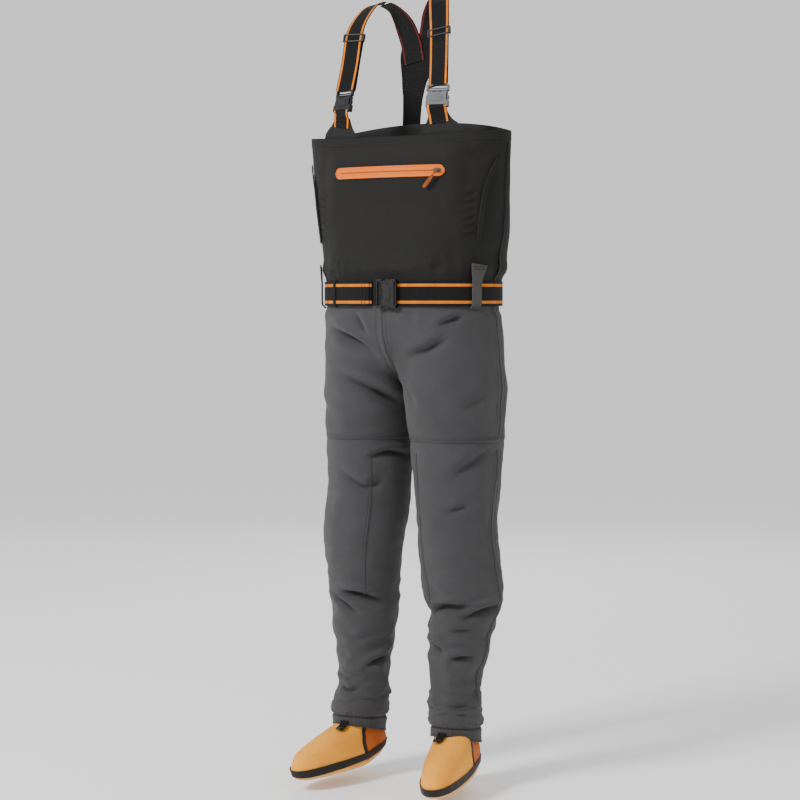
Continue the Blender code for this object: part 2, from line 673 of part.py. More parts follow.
def pocket_welt(side):
    """The curved lip of a hand-warmer pocket, near the side seam."""
    points, normals = [], []
    step = 0.01
    for z, degrees in WELT_LINE:
        section = between(TORSO, z)
        angle = math.radians(degrees)
        ahead = ring_point(section, angle + step, TORSO_POWER)
        tangent = ahead - ring_point(section, angle - step, TORSO_POWER)
        normal = tangent.cross(Vector((0, 0, 1))).normalized()
        point = ring_point(section, angle, TORSO_POWER) + normal * WELT_LIFT
        points.append(Vector((point.x * SIDES[side], point.y, point.z)))
        normals.append(Vector((normal.x * SIDES[side], normal.y, 0.0)))
    add(f"pocket_welt_{side}", ribbon(points, normals, WELT_WIDE, WELT_THICK), "bib_fabric", frame)


bib()
for side in SIDES:
    leg(side)
    sock(side)
    lace_hook(side)
    suspender(side)
    adjuster(side)
    pocket_welt(side)
belt()
pockets()
add("yoke_stem", ribbon(STEM, [(0, 1, 0)] * len(STEM), STEM_WIDE, WEBBING), "webbing_black", frame)
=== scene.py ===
"""Chest waders: the finished surfaces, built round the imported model.

Heights are measured from the soles and FLOOR turns them into the frame's own height.  +X is the wearer's
left, -Y is the front.  Angles run round the body: 0 is the wearer's left, 90 the back, 270 the front.
"""

import json
import math
from collections import namedtuple

import bmesh
import bpy
import numpy as np
from mathutils import Euler, Matrix, Vector, noise
from mathutils.bvhtree import BVHTree


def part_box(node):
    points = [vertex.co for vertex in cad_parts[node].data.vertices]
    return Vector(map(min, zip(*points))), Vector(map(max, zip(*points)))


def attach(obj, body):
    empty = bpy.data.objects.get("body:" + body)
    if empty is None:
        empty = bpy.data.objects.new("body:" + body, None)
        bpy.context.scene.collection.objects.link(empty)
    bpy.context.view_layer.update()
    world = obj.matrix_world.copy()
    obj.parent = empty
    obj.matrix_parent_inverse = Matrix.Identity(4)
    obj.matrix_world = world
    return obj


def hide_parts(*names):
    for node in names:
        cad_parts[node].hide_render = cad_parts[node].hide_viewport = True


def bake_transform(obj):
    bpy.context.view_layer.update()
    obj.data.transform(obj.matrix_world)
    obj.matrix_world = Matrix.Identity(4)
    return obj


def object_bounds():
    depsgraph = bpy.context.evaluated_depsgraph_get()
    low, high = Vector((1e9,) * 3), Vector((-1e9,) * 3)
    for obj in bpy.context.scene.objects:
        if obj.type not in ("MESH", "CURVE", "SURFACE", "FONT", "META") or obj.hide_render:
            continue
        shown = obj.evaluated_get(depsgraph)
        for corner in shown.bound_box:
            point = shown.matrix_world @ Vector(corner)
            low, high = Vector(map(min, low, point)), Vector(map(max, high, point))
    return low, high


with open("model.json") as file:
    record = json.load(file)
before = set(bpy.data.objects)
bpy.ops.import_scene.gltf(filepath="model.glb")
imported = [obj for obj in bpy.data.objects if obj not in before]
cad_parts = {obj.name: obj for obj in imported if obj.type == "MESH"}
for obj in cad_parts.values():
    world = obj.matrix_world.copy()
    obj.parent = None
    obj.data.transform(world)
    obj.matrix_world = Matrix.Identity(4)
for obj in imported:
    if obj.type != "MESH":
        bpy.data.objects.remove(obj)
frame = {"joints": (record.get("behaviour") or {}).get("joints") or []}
CAD_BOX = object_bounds()
FLOOR = CAD_BOX[0][2]
JOINTS = {joint["name"]: joint for joint in frame["joints"]}

SIDES = {"left": 1.0, "right": -1.0}
CLOTH = 0.0012
NEOPRENE = 0.0035
WEBBING = 0.0020
TAPE = 0.0008
STITCH_LIFT = 0.0003
TAPE_LIFT = 0.0006

# ---------------------------------------------------------------- the body shapes the cloth is cut to
Section = namedtuple("Section", "z x y wide front back")

TORSO = (
    Section(0.895, 0.0, 0.012, 0.177, 0.127, 0.111),
    Section(0.955, 0.0, 0.012, 0.177, 0.127, 0.111),
    Section(1.050, 0.0, 0.012, 0.198, 0.114, 0.090),
    Section(1.150, 0.0, 0.006, 0.209, 0.098, 0.074),
    Section(1.2305, 0.0, 0.000, 0.2145, 0.087, 0.066),
)
LEG = (
    Section(0.745, 0.0925, 0.014, 0.0925, 0.114, 0.107),
    Section(0.640, 0.0965, 0.014, 0.0860, 0.099, 0.096),
    Section(0.537, 0.0978, 0.009, 0.0805, 0.086, 0.086),
    Section(0.439, 0.1060, 0.001, 0.0765, 0.081, 0.081),
    Section(0.322, 0.1120, 0.010, 0.0680, 0.070, 0.070),
    Section(0.244, 0.1060, 0.004, 0.0565, 0.060, 0.060),
    Section(0.166, 0.1040, 0.000, 0.0480, 0.052, 0.052),
    Section(0.127, 0.1060, -0.008, 0.0515, 0.056, 0.059),
    Section(0.098, 0.1085, -0.013, 0.0500, 0.054, 0.062),
    Section(0.066, 0.1090, -0.013, 0.0485, 0.051, 0.061),
)
SOCK = (
    Section(0.0010, 0.0, 0.0, 0.0330, 0.176, 0.030),
    Section(0.0063, 0.0, 0.0, 0.0410, 0.188, 0.042),
    Section(0.0180, 0.0, 0.0, 0.0435, 0.196, 0.049),
    Section(0.0320, 0.0, 0.0, 0.0430, 0.193, 0.0525),
    Section(0.0460, 0.0, 0.0, 0.0420, 0.181, 0.0520),
    Section(0.0600, 0.0, 0.0, 0.0400, 0.144, 0.0480),
    Section(0.0710, 0.0, 0.0, 0.0380, 0.099, 0.0430),
    Section(0.0800, 0.0, 0.0, 0.0365, 0.065, 0.0410),
    Section(0.0950, 0.0, 0.0, 0.0370, 0.048, 0.0400),
    Section(0.1220, 0.0, 0.0, 0.0380, 0.040, 0.0390),
)
FULLNESS = {"left": 1.02, "right": 0.985}
KNEE_FULLNESS = {"left": -0.055, "right": 0.078}
ANKLE_FULLNESS = {"left": -0.095, "right": 0.0}
SPLAY = {"left": 14.0, "right": 10.0}
TORSO_POWER, LEG_POWER, SOCK_POWER = 2.3, 2.0, 2.4

BIB_BOTTOM, BIB_TOP = 0.9045, 1.2305
BIB_FRONT_DIP, BIB_BACK_RISE = -0.008, 0.028
WAIST, CROTCH, THIGH_SEAM = 0.910, 0.745, 0.645
SHIN_BOTTOM, GUARD_TOP, GUARD_BOTTOM, GUARD_SLOPE = 0.124, 0.134, 0.066, 0.015


def between(sections, z):
    """The section at height z, on a smooth curve through the given ones."""
    rows = sorted(sections)
    z = min(max(z, rows[0].z), rows[-1].z)
    i = max(k for k, row in enumerate(rows[:-1]) if row.z <= z)
    a, b = rows[i], rows[i + 1]
    before, after = rows[max(i - 1, 0)], rows[min(i + 2, len(rows) - 1)]
    span = b.z - a.z
    t = (z - a.z) / span
    values = [z]
    for k in range(1, len(a)):
        lead = (b[k] - before[k]) / (b.z - before.z) * span
        trail = (after[k] - a[k]) / (after.z - a.z) * span
        h = t * t * (3 - 2 * t)
        values.append(a[k] * (1 - h) + b[k] * h + lead * t * (1 - t) ** 2 - trail * t * t * (1 - t))
    return Section(*values)


def ring(section, angles, power):
    """Points on a section's outline, in frame coordinates."""
    c, s = np.cos(angles), np.sin(angles)
    deep = np.where(s > 0, section.back, section.front)
    x = section.x + section.wide * np.sign(c) * np.abs(c) ** (2 / power)
    y = section.y + deep * np.sign(s) * np.abs(s) ** (2 / power)
    return np.stack([x, y, np.full_like(x, section.z + FLOOR)], axis=-1)


def smooth(t):
    t = np.clip(t, 0.0, 1.0)
    return t * t * (3 - 2 * t)


def hump(value, centre, wide):
    return np.exp(-((value - centre) / wide) ** 2)


# ---------------------------------------------------------------- materials
class Paint:
    """A material being built: its nodes, its shader and the arithmetic its patterns are made of."""

    def __init__(self, name):
        self.material = bpy.data.materials.new(name)
        self.material.use_nodes = True
        self.tree = self.material.node_tree
        self.shader = self.tree.nodes["Principled BSDF"]

    def feed(self, socket, value):
        """Give a socket a colour, a number or another socket."""
        if isinstance(value, tuple):
            socket.default_value = (*value, 1.0)
        elif isinstance(value, (int, float)):
            socket.default_value = value
        else:
            self.tree.links.new(value, socket)

    def set(self, **values):
        """Feed the shader's sockets; Base_Color stands for Base Color."""
        for name, value in values.items():
            self.feed(self.shader.inputs[name.replace("_", " ")], value)

    def node(self, kind, **settings):
        made = self.tree.nodes.new(kind)
        for key, value in settings.items():
            setattr(made, key, value)
        return made

    def maths(self, operation, *values):
        made = self.node("ShaderNodeMath", operation=operation)
        for socket, value in zip(made.inputs, values):
            self.feed(socket, value)
        return made.outputs[0]

    def add(self, a, b):
        return self.maths("ADD", a, b)

    def times(self, a, b):
        return self.maths("MULTIPLY", a, b)

    def noise(self, vector, scale, detail=3.0, roughness=0.55):
        made = self.node("ShaderNodeTexNoise")
        values = {"Scale": scale, "Detail": detail, "Roughness": roughness, "Vector": vector}
        for name, value in values.items():
            self.feed(made.inputs[name], value)
        return made.outputs["Fac"]

    def mix(self, factor, a, b):
        """Mix two colours, each a tuple or a socket."""
        made = self.node("ShaderNodeMix", data_type="RGBA")
        for index, value in ((0, factor), (6, a), (7, b)):
            self.feed(made.inputs[index], value)
        return made.outputs[2]

    def remap(self, value, low, high, to_low=0.0, to_high=1.0):
        made = self.node("ShaderNodeMapRange")
        for socket, number in zip(made.inputs, (value, low, high, to_low, to_high)):
            self.feed(socket, number)
        return made.outputs["Result"]

    def cloth(self):
        """Metres along the cloth: both together, then x round the body and y up it."""
        uv = self.node("ShaderNodeUVMap", uv_map="cloth").outputs["UV"]
        split = self.node("ShaderNodeSeparateXYZ")
        self.feed(split.inputs[0], uv)
        return uv, split.outputs["X"], split.outputs["Y"]

    def where(self):
        return self.node("ShaderNodeTexCoord").outputs["Object"]

    def wave(self, value, pitch):
        """A sine that repeats every pitch metres."""
        return self.maths("MULTIPLY_ADD", self.maths("SINE", self.times(value, 2 * math.pi / pitch)), 0.5)

    def bump(self, height, distance):
        made = self.node("ShaderNodeBump")
        for name, value in (("Distance", distance), ("Strength", 1.0), ("Height", height)):
            self.feed(made.inputs[name], value)
        self.set(Normal=made.outputs["Normal"])


def shaded(colour, share):
    return tuple(c * share for c in colour)


def woven(name, dark, light, pitch, roughness, sheen, twill=0.0, heather=0.25, bump=0.00035, shine=0.30,
          folds=0.0):
    """Woven cloth: crossing yarns, a soft heather of two shades, and painted shade darkening it down in the
    folds.
    """
    paint = Paint(name)
    uv, x, y = paint.cloth()
    slant = paint.add(x, paint.times(y, twill)) if twill else x
    lean = paint.maths("SUBTRACT", y, paint.times(x, twill)) if twill else y
    weave = paint.times(paint.wave(slant, pitch), paint.wave(lean, pitch))
    cloud = paint.noise(paint.where(), 14.0, 4.0)
    yarn = paint.noise(uv, 1400.0, 2.0)
    shade = paint.add(paint.times(yarn, heather), paint.times(weave, 0.30))
    shade = paint.add(shade, paint.times(cloud, 0.55))
    colour = paint.mix(paint.remap(shade, 0.25, 0.85), dark, light)
    if folds:
        # Painted shade: where the surface curves inward (low pointiness) the colour is pulled towards a
        # darker copy of the dark shade, standing in for shade in the folds.
        fold_shade_mask = paint.node("ShaderNodeNewGeometry").outputs["Pointiness"]
        colour = paint.mix(paint.remap(fold_shade_mask, 0.492, 0.425, 0.0, folds), colour, shaded(dark, 0.30))
    rough = paint.remap(cloud, 0.3, 0.7, roughness - 0.06, roughness + 0.06)
    paint.set(Base_Color=colour, Roughness=rough, Sheen_Weight=sheen, Sheen_Roughness=0.45,
              Specular_IOR_Level=shine)
    paint.bump(paint.add(weave, paint.times(paint.noise(uv, 260.0, 3.0), 1.2)), bump)
    return paint.material


def webbing(name, base, stripe=None, place=0.0, half=0.0, pitch=0.0022):
    """Flat ribbed webbing; a stripe runs place metres to each side of its middle, half wide each way."""
    paint = Paint(name)
    _, x, y = paint.cloth()
    ribs, yarns = paint.wave(y, pitch), paint.wave(x, 0.0011)
    cloud = paint.noise(paint.where(), 60.0)
    colour = paint.mix(paint.remap(paint.times(ribs, cloud), 0.0, 0.6), shaded(base, 0.55), base)
    if stripe:
        away = paint.maths("ABSOLUTE", paint.maths("SUBTRACT", paint.maths("ABSOLUTE", x), place))
        ragged = paint.add(away, paint.times(ribs, 0.0002))
        band = paint.remap(ragged, half + 0.0003, half - 0.0002)
        worn = paint.mix(paint.remap(cloud, 0.35, 0.75), shaded(stripe, 0.72), stripe)
        colour = paint.mix(band, colour, worn)
    paint.set(Base_Color=colour, Roughness=0.72, Specular_IOR_Level=0.2)
    paint.bump(paint.add(ribs, paint.times(yarns, 0.4)), 0.0005)
    return paint.material


def plastic(name, colour, roughness, grain=900.0, worn=1.7, metallic=0.0):
    """Moulded plastic or cast metal: a fine grain, and dull rubbed patches."""
    paint = Paint(name)
    where = paint.where()
    rub = paint.noise(where, 90.0, 4.0)
    pale = tuple(c * worn + 0.002 for c in colour)
    paint.set(Base_Color=paint.mix(paint.remap(rub, 0.35, 0.8), colour, pale), Metallic=metallic,
              Roughness=paint.remap(rub, 0.3, 0.75, roughness, roughness + 0.18), Specular_IOR_Level=0.3)
    paint.bump(paint.noise(where, grain, 2.0), 0.00012)
    return paint.material


def neoprene(name, dark, light):
    """Foam rubber faced with a fine jersey knit, in cloudy patches of two shades."""
    paint = Paint(name)
    _, x, y = paint.cloth()
    where = paint.where()
    loops = paint.times(paint.wave(x, 0.0011), paint.wave(y, 0.0016))
    shade = paint.add(paint.times(paint.noise(where, 22.0, 5.0, 0.6), 0.8), paint.times(loops, 0.25))
    paint.set(Base_Color=paint.mix(paint.remap(shade, 0.2, 0.75), dark, light), Roughness=0.82,
              Sheen_Weight=0.06, Sheen_Roughness=0.5, Specular_IOR_Level=0.18)
    paint.bump(paint.add(loops, paint.times(paint.noise(where, 120.0, 3.0), 1.5)), 0.0004)
    return paint.material


def thread(name, colour):
    """Twisted sewing thread."""
    paint = Paint(name)
    fuzz = paint.noise(paint.where(), 700.0, 2.0)
    paint.set(Base_Color=paint.mix(fuzz, shaded(colour, 0.6), colour), Roughness=0.6)
    paint.bump(fuzz, 0.0002)
    return paint.material


STRAP_STRIPE = (0.80, 0.215, 0.002)
MATERIALS = {
    "bib": woven("bib_cloth", (0.0040, 0.0036, 0.0032), (0.0125, 0.0114, 0.0102), 0.0011, 0.62, 0.0,
                 heather=0.20, shine=0.22),
    # The leg cloth gets painted shade in its folds (folds=0.85); the bib and the other cloths have none.
    "leg": woven("leg_cloth", (0.027, 0.027, 0.029), (0.056, 0.055, 0.058), 0.0014, 0.78, 0.10, twill=1.0,
                 heather=0.35, bump=0.0004, folds=0.85),
    "lining": woven("lining_cloth", (0.010, 0.010, 0.010), (0.022, 0.022, 0.022), 0.0016, 0.85, 0.05),
    "tape": woven("seam_tape", (0.0045, 0.0036, 0.0036), (0.0120, 0.0095, 0.0095), 0.0010, 0.55, 0.0),
    "strap": webbing("webbing_striped", (0.004, 0.0037, 0.0037), STRAP_STRIPE, 0.0163, 0.0020),
    "belt": webbing("belt_webbing", (0.004, 0.0037, 0.0037), STRAP_STRIPE, 0.0160, 0.0027),
    "black_webbing": webbing("webbing_black", (0.005, 0.005, 0.005)),
    "yoke": webbing("yoke_elastic", (0.006, 0.006, 0.006), pitch=0.0030),
    "yoke_edged": webbing("yoke_elastic_edged", (0.006, 0.006, 0.006), (0.16, 0.010, 0.010), 0.0200, 0.0014,
                          pitch=0.0030),
    "tab": woven("tab_cloth", (0.007, 0.0066, 0.0066), (0.018, 0.017, 0.017), 0.0016, 0.66, 0.0, shine=0.22),
    "loop": webbing("loop_webbing", (0.085, 0.084, 0.079)),
    "buckle_black": plastic("buckle_plastic", (0.0050, 0.0050, 0.0056), 0.36),
    # The left strap's buckle: the black buckle plastic painted pale grey, a painted highlight standing in for
    # the light on its face.
    "buckle_painted_lit": plastic("buckle_plastic_painted_lit", (0.070, 0.074, 0.079), 0.42),
    "zip": plastic("zip_laminate", (0.62, 0.130, 0.0), 0.55, 500.0, 1.12),
    "coil": plastic("zip_coil", (0.42, 0.075, 0.002), 0.45, worn=1.2),
    "slider": plastic("zip_slider_metal", (0.050, 0.045, 0.042), 0.30, metallic=0.8),
    "puller": webbing("puller_cord", (0.36, 0.090, 0.020), pitch=0.0016),
    "sock": neoprene("neoprene_orange", (0.86, 0.300, 0.016), (0.98, 0.440, 0.045)),
    "heel": neoprene("neoprene_rust", (0.40, 0.075, 0.006), (0.60, 0.145, 0.018)),
    "sole": neoprene("neoprene_sole", (0.78, 0.40, 0.12), (0.92, 0.55, 0.22)),
    "thread_dark": thread("thread_dark", (0.020, 0.019, 0.018)),
    "thread_grey": thread("thread_grey", (0.050, 0.050, 0.052)),
    "thread_black": thread("thread_black", (0.010, 0.010, 0.010)),
}


# ---------------------------------------------------------------- meshes
def finish_piece(name, mesh, paint):
    mesh.materials.append(MATERIALS[paint])
    mesh.shade_smooth()
    made = bpy.data.objects.new(name, mesh)
    bpy.context.scene.collection.objects.link(made)
    return made


def grid_normals(grid):
    """The outward direction at each point of a grid whose columns run anticlockwise and rows run up."""
    across = np.gradient(grid, axis=1)
    up = np.gradient(grid, axis=0)
    closed = np.linalg.norm(grid[:, 0] - grid[:, -1], axis=1) < 1e-6
    wrapped = (grid[closed, 1] - grid[closed, -2]) / 2
    across[closed, 0] = wrapped
    across[closed, -1] = wrapped
    normal = np.cross(across, up)
    length = np.linalg.norm(normal, axis=-1, keepdims=True)
    return normal / np.maximum(length, 1e-9)


def grid_mesh(name, grid, sewn_rows, mirrored=False):
    """Quads over a grid; in the first sewn_rows rows the last column is the first one again."""
    rows, cols = grid.shape[:2]
    index = np.arange(rows * cols).reshape(rows, cols)
    index[:sewn_rows, -1] = index[:sewn_rows, 0]
    middle = grid[rows // 2]
    around = np.concatenate([[0.0], np.cumsum(np.linalg.norm(np.diff(middle, axis=0), axis=1))])
    column = grid[:, cols // 2]
    upward = np.concatenate([[0.0], np.cumsum(np.linalg.norm(np.diff(column, axis=0), axis=1))])
    faces, corners = [], []
    for i in range(rows - 1):
        for j in range(cols - 1):
            quad = [(i, j), (i, j + 1), (i + 1, j + 1), (i + 1, j)]
            if mirrored:
                quad.reverse()
            faces.append([index[a, b] for a, b in quad])
            corners += [(around[b], upward[a]) for a, b in quad]
    used = np.unique(index)
    place = np.zeros(rows * cols, int)
    place[used] = np.arange(len(used))
    faces = [[int(place[k]) for k in face] for face in faces]
    mesh = bpy.data.meshes.new(name)
    mesh.from_pydata(grid.reshape(-1, 3)[used].tolist(), [], faces)
    layer = mesh.uv_layers.new(name="cloth")
    layer.data.foreach_set("uv", np.array(corners, np.float32).ravel())
    return mesh


def mesh_from(bm, name):
    mesh = bpy.data.meshes.new(name)
    bm.to_mesh(mesh)
    bm.free()
    return mesh


def thicken(piece, thick, offset=-1.0):
    skin = piece.modifiers.new("thickness", "SOLIDIFY")
    skin.thickness = thick
    skin.offset = offset
    skin.use_even_offset = False
    return piece


def cloth_piece(name, grid, sewn_rows, paint, thick=CLOTH, mirrored=False):
    """A finished sheet of cloth over a grid of points on its outer face."""
    return thicken(finish_piece(name, grid_mesh(name, grid, sewn_rows, mirrored), paint), thick)


def ribbon(name, points, normals, wide, thick, paint, arc=5):
    """Flat woven webbing with soft edges; each normal faces away from the wearer, and wide may change."""
    points = [Vector(p) for p in points]
    widths = [wide] * len(points) if isinstance(wide, float) else list(wide)
    outer, run = [], 0.0
    lengths = []
    for i, point in enumerate(points):
        along = points[min(i + 1, len(points) - 1)] - points[max(i - 1, 0)]
        across = Vector(normals[i]).cross(along).normalized()
        out = along.cross(across).normalized()
        if out.dot(Vector(normals[i])) < 0:
            out = -out
        row = []
        for k in range(arc):
            t = 2 * k / (arc - 1) - 1
            row.append(point + across * (t * widths[i] / 2) + out * (thick * 0.10 * (1 - t * t)))
        outer.append(row)
        run += (point - points[i - 1]).length if i else 0.0
        lengths.append(run)
    bm = bmesh.new()
    layer = bm.loops.layers.uv.new("cloth")
    grid = [[bm.verts.new(p) for p in row] for row in outer]
    for i in range(len(grid) - 1):
        for k in range(arc - 1):
            face = bm.faces.new((grid[i][k], grid[i][k + 1], grid[i + 1][k + 1], grid[i + 1][k]))
            ends = ((i, k), (i, k + 1), (i + 1, k + 1), (i + 1, k))
            for loop, (a, b) in zip(face.loops, ends):
                t = 2 * b / (arc - 1) - 1
                loop[layer].uv = (t * widths[a] / 2, lengths[a])
    bm.normal_update()
    bm.faces.ensure_lookup_table()
    if bm.faces[0].normal.dot(Vector(normals[0])) < 0:
        bmesh.ops.reverse_faces(bm, faces=bm.faces)
    piece = finish_piece(name, mesh_from(bm, name), paint)
    thicken(piece, thick, 0.0)
    soften = piece.modifiers.new("soft_edge", "BEVEL")
    soften.width = thick * 0.32
    soften.segments = 2
    soften.limit_method = "ANGLE"
    soften.angle_limit = math.radians(50.0)
    return piece


def curve_through(points, count):
    """count points, evenly spaced by length, on a smooth curve through the given ones."""
    knots = [Vector(p) for p in points]
    fine = []
    for i in range(len(knots) - 1):
        a, b = knots[i], knots[i + 1]
        before = knots[i - 1] if i else a - (b - a)
        after = knots[i + 2] if i + 2 < len(knots) else b + (b - a)
        for k in range(24):
            t = k / 24
            fine.append(0.5 * (2 * a + (b - before) * t + (2 * before - 5 * a + 4 * b - after) * t * t
                               + (3 * a - before - 3 * b + after) * t ** 3))
    fine.append(knots[-1])
    lengths = np.concatenate([[0.0], np.cumsum([(q - p).length for p, q in zip(fine, fine[1:])])])
    flat = np.array([list(p) for p in fine])
    wanted = np.linspace(0.0, lengths[-1], count)
    return [Vector([np.interp(w, lengths, flat[:, k]) for k in range(3)]) for w in wanted]


def blend_vectors(vectors, count):
    """count directions between the given ones."""
    flat = np.array([list(Vector(v).normalized()) for v in vectors])
    steps = np.linspace(0, len(vectors) - 1, count)
    out = [Vector([np.interp(s, range(len(vectors)), flat[:, k]) for k in range(3)]) for s in steps]
    return [v.normalized() for v in out]


class Surface:
    """Finds the nearest point, and the outward direction there, on a finished cloth piece."""

    def __init__(self, *pieces):
        vertices, faces = [], []
        for piece in pieces:
            base = len(vertices)
            vertices += [v.co.copy() for v in piece.data.vertices]
            faces += [[base + i for i in face.vertices] for face in piece.data.polygons]
        self.tree = BVHTree.FromPolygons(vertices, faces)

    def on(self, point, lift=0.0):
        place, normal, _, _ = self.tree.find_nearest(Vector(point))
        return place + normal * lift, normal

    def line(self, points, lift=0.0):
        """The points brought to the cloth, and the outward direction at each."""
        found = [self.on(p, lift) for p in points]
        return [f[0] for f in found], [f[1] for f in found]

    def path(self, points, count, lift=0.0):
        return self.line(curve_through(points, count), lift)


def stitches(name, paths, paint, pitch=0.0042, stitch=0.0029, thick=0.0005):
    """Rows of short raised stitches; each path is its points and outward directions."""
    bm = bmesh.new()
    bm.loops.layers.uv.new("cloth")
    for points, normals in paths:
        lengths = np.concatenate([[0.0], np.cumsum([(q - p).length for p, q in zip(points, points[1:])])])
        flat = np.array([list(p) for p in points])
        ups = np.array([list(n) for n in normals])
        for k in range(int(lengths[-1] / pitch)):
            start = k * pitch
            a = Vector([np.interp(start, lengths, flat[:, c]) for c in range(3)])
            b = Vector([np.interp(start + stitch, lengths, flat[:, c]) for c in range(3)])
            up = Vector([np.interp(start, lengths, ups[:, c]) for c in range(3)]).normalized()
            if (b - a).length < 1e-5:
                continue
            along = (b - a).normalized()
            side = up.cross(along).normalized()
            loops = []
            for t, k_size in ((0.0, 0.35), (0.22, 0.9), (0.5, 1.0), (0.78, 0.9), (1.0, 0.35)):
                centre = a.lerp(b, t) + up * (thick * (0.9 - 2.4 * (t - 0.5) ** 2))
                half = thick * k_size
                loops.append([bm.verts.new(centre + side * (half * math.cos(w)) + up * (half * math.sin(w)))
                              for w in (0.0, math.pi / 2, math.pi, 3 * math.pi / 2)])
            for one, two in zip(loops, loops[1:]):
                for c in range(4):
                    bm.faces.new((one[c], one[(c + 1) % 4], two[(c + 1) % 4], two[c]))
            bm.faces.new(loops[0][::-1])
            bm.faces.new(loops[-1])
    bmesh.ops.recalc_face_normals(bm, faces=bm.faces)
    return finish_piece(name, mesh_from(bm, name), paint)


# ---------------------------------------------------------------- folds
FOLD_STRENGTH = 1.60


def floor_points(points):
    """Points given by their height above the soles, in the frame's coordinates."""
    return [Vector((x, y, z + FLOOR)) for x, y, z in points]


def crease(grid, normals, stroke, depth, wide, peak=0.5, lip=0.70):
    """How far a crease pushes each point: a sharp valley along the stroke, and a lip above it.

    Strokes run from the wearer's right to the left, so that above is the side away from the ground.
    """
    flat, ups = grid.reshape(-1, 3), normals.reshape(-1, 3)
    on_cloth = []
    for point in curve_through(floor_points(stroke), 12):
        point = np.array(list(point))
        nearest = np.argmin(np.linalg.norm(flat - point, axis=1))
        on_cloth.append(point - ups[nearest] * ((point - flat[nearest]) @ ups[nearest]))
    stroke = np.array(on_cloth)
    spans = np.linalg.norm(np.diff(stroke, axis=0), axis=1)
    total = spans.sum()
    best = np.full(grid.shape[:2], 1e9)
    signed = np.zeros(grid.shape[:2])
    place = np.zeros(grid.shape[:2])
    run = 0.0
    for a, b, span in zip(stroke, stroke[1:], spans):
        along = (b - a) / span
        t = np.clip((grid - a) @ along, 0.0, span)
        away = grid - (a + t[..., None] * along)
        distance = np.linalg.norm(away, axis=-1)
        up = -np.cross(along, normals)
        side = np.sign((away * up).sum(axis=-1))
        nearer = distance < best
        best = np.where(nearer, distance, best)
        signed = np.where(nearer, side * distance, signed)
        place = np.where(nearer, (run + t) / total, place)
        run += span
    fade = smooth(place / peak) * smooth((1 - place) / (1 - peak))
    valley = -np.exp(-(np.abs(signed) / wide) ** 1.5)
    ridge = lip * hump(signed, 2.1 * wide, 1.5 * wide) + 0.25 * lip * hump(signed, -2.6 * wide, 2.0 * wide)
    return FOLD_STRENGTH * depth * fade * (valley + ridge)


def cloth_noise(grid, scale, stretch=(1.0, 1.0, 1.0), seed=0.0):
    """Smooth noise from -1 to 1 at each point; scale is the size of one lump in metres."""
    flat = grid.reshape(-1, 3) * (np.array(stretch) / scale) + seed
    values = [noise.noise(Vector(p)) for p in flat]
    return np.array(values).reshape(grid.shape[:2])


def crumple(grid, scale, stretch=(1.0, 1.0, 1.0), seed=0.0):
    """Noise with sharp ridges and broad hollows, as in cloth that has been folded."""
    return 1.0 - 2.2 * np.abs(cloth_noise(grid, scale, stretch, seed))


def bumps(grid, spots):
    """Round swellings or dents: each spot is its centre, its height and its radius."""
    total = np.zeros(grid.shape[:2])
    for centre, height, radius in spots:
        (centre,) = floor_points([centre])
        away = np.linalg.norm(grid - np.array(list(centre)), axis=-1)
        total += height * np.exp(-(away / radius) ** 2)
    return total


# ---------------------------------------------------------------- bib
ZIP_Z, ZIP_RADIUS, ZIP_CENTRE = 1.158, 0.600, (0.004, 0.5015)
ZIP_HALF_LENGTH, ZIP_HALF_TALL = 0.120, 0.011
SLIDER_AT = ZIP_HALF_LENGTH - 0.0135
BELT_Z, BELT_WIDE = 0.927, 0.047
BELT_TOP = 0.951

BIB_CREASES = [
    ([(-0.150, -0.064, 0.985), (-0.120, -0.084, 0.972), (-0.075, -0.100, 0.968)], 0.0030, 0.008, 0.5),
    ([(0.060, -0.108, 0.966), (0.100, -0.097, 0.972), (0.150, -0.072, 0.990)], 0.0028, 0.008, 0.5),
    ([(0.150, -0.068, 1.205), (0.172, -0.052, 1.190), (0.196, -0.030, 1.184)], 0.0025, 0.007, 0.5),
]
PUCKERS = 6


def torso_swell(angles, z):
    """The cloth hangs fuller at the wearer's left back quarter than the body's section."""
    turn = np.degrees(angles) - 30.0
    turn = (turn + 180.0) % 360.0 - 180.0
    return 0.0065 * hump(turn, 0.0, 34.0) * hump(z, 1.000, 0.085)


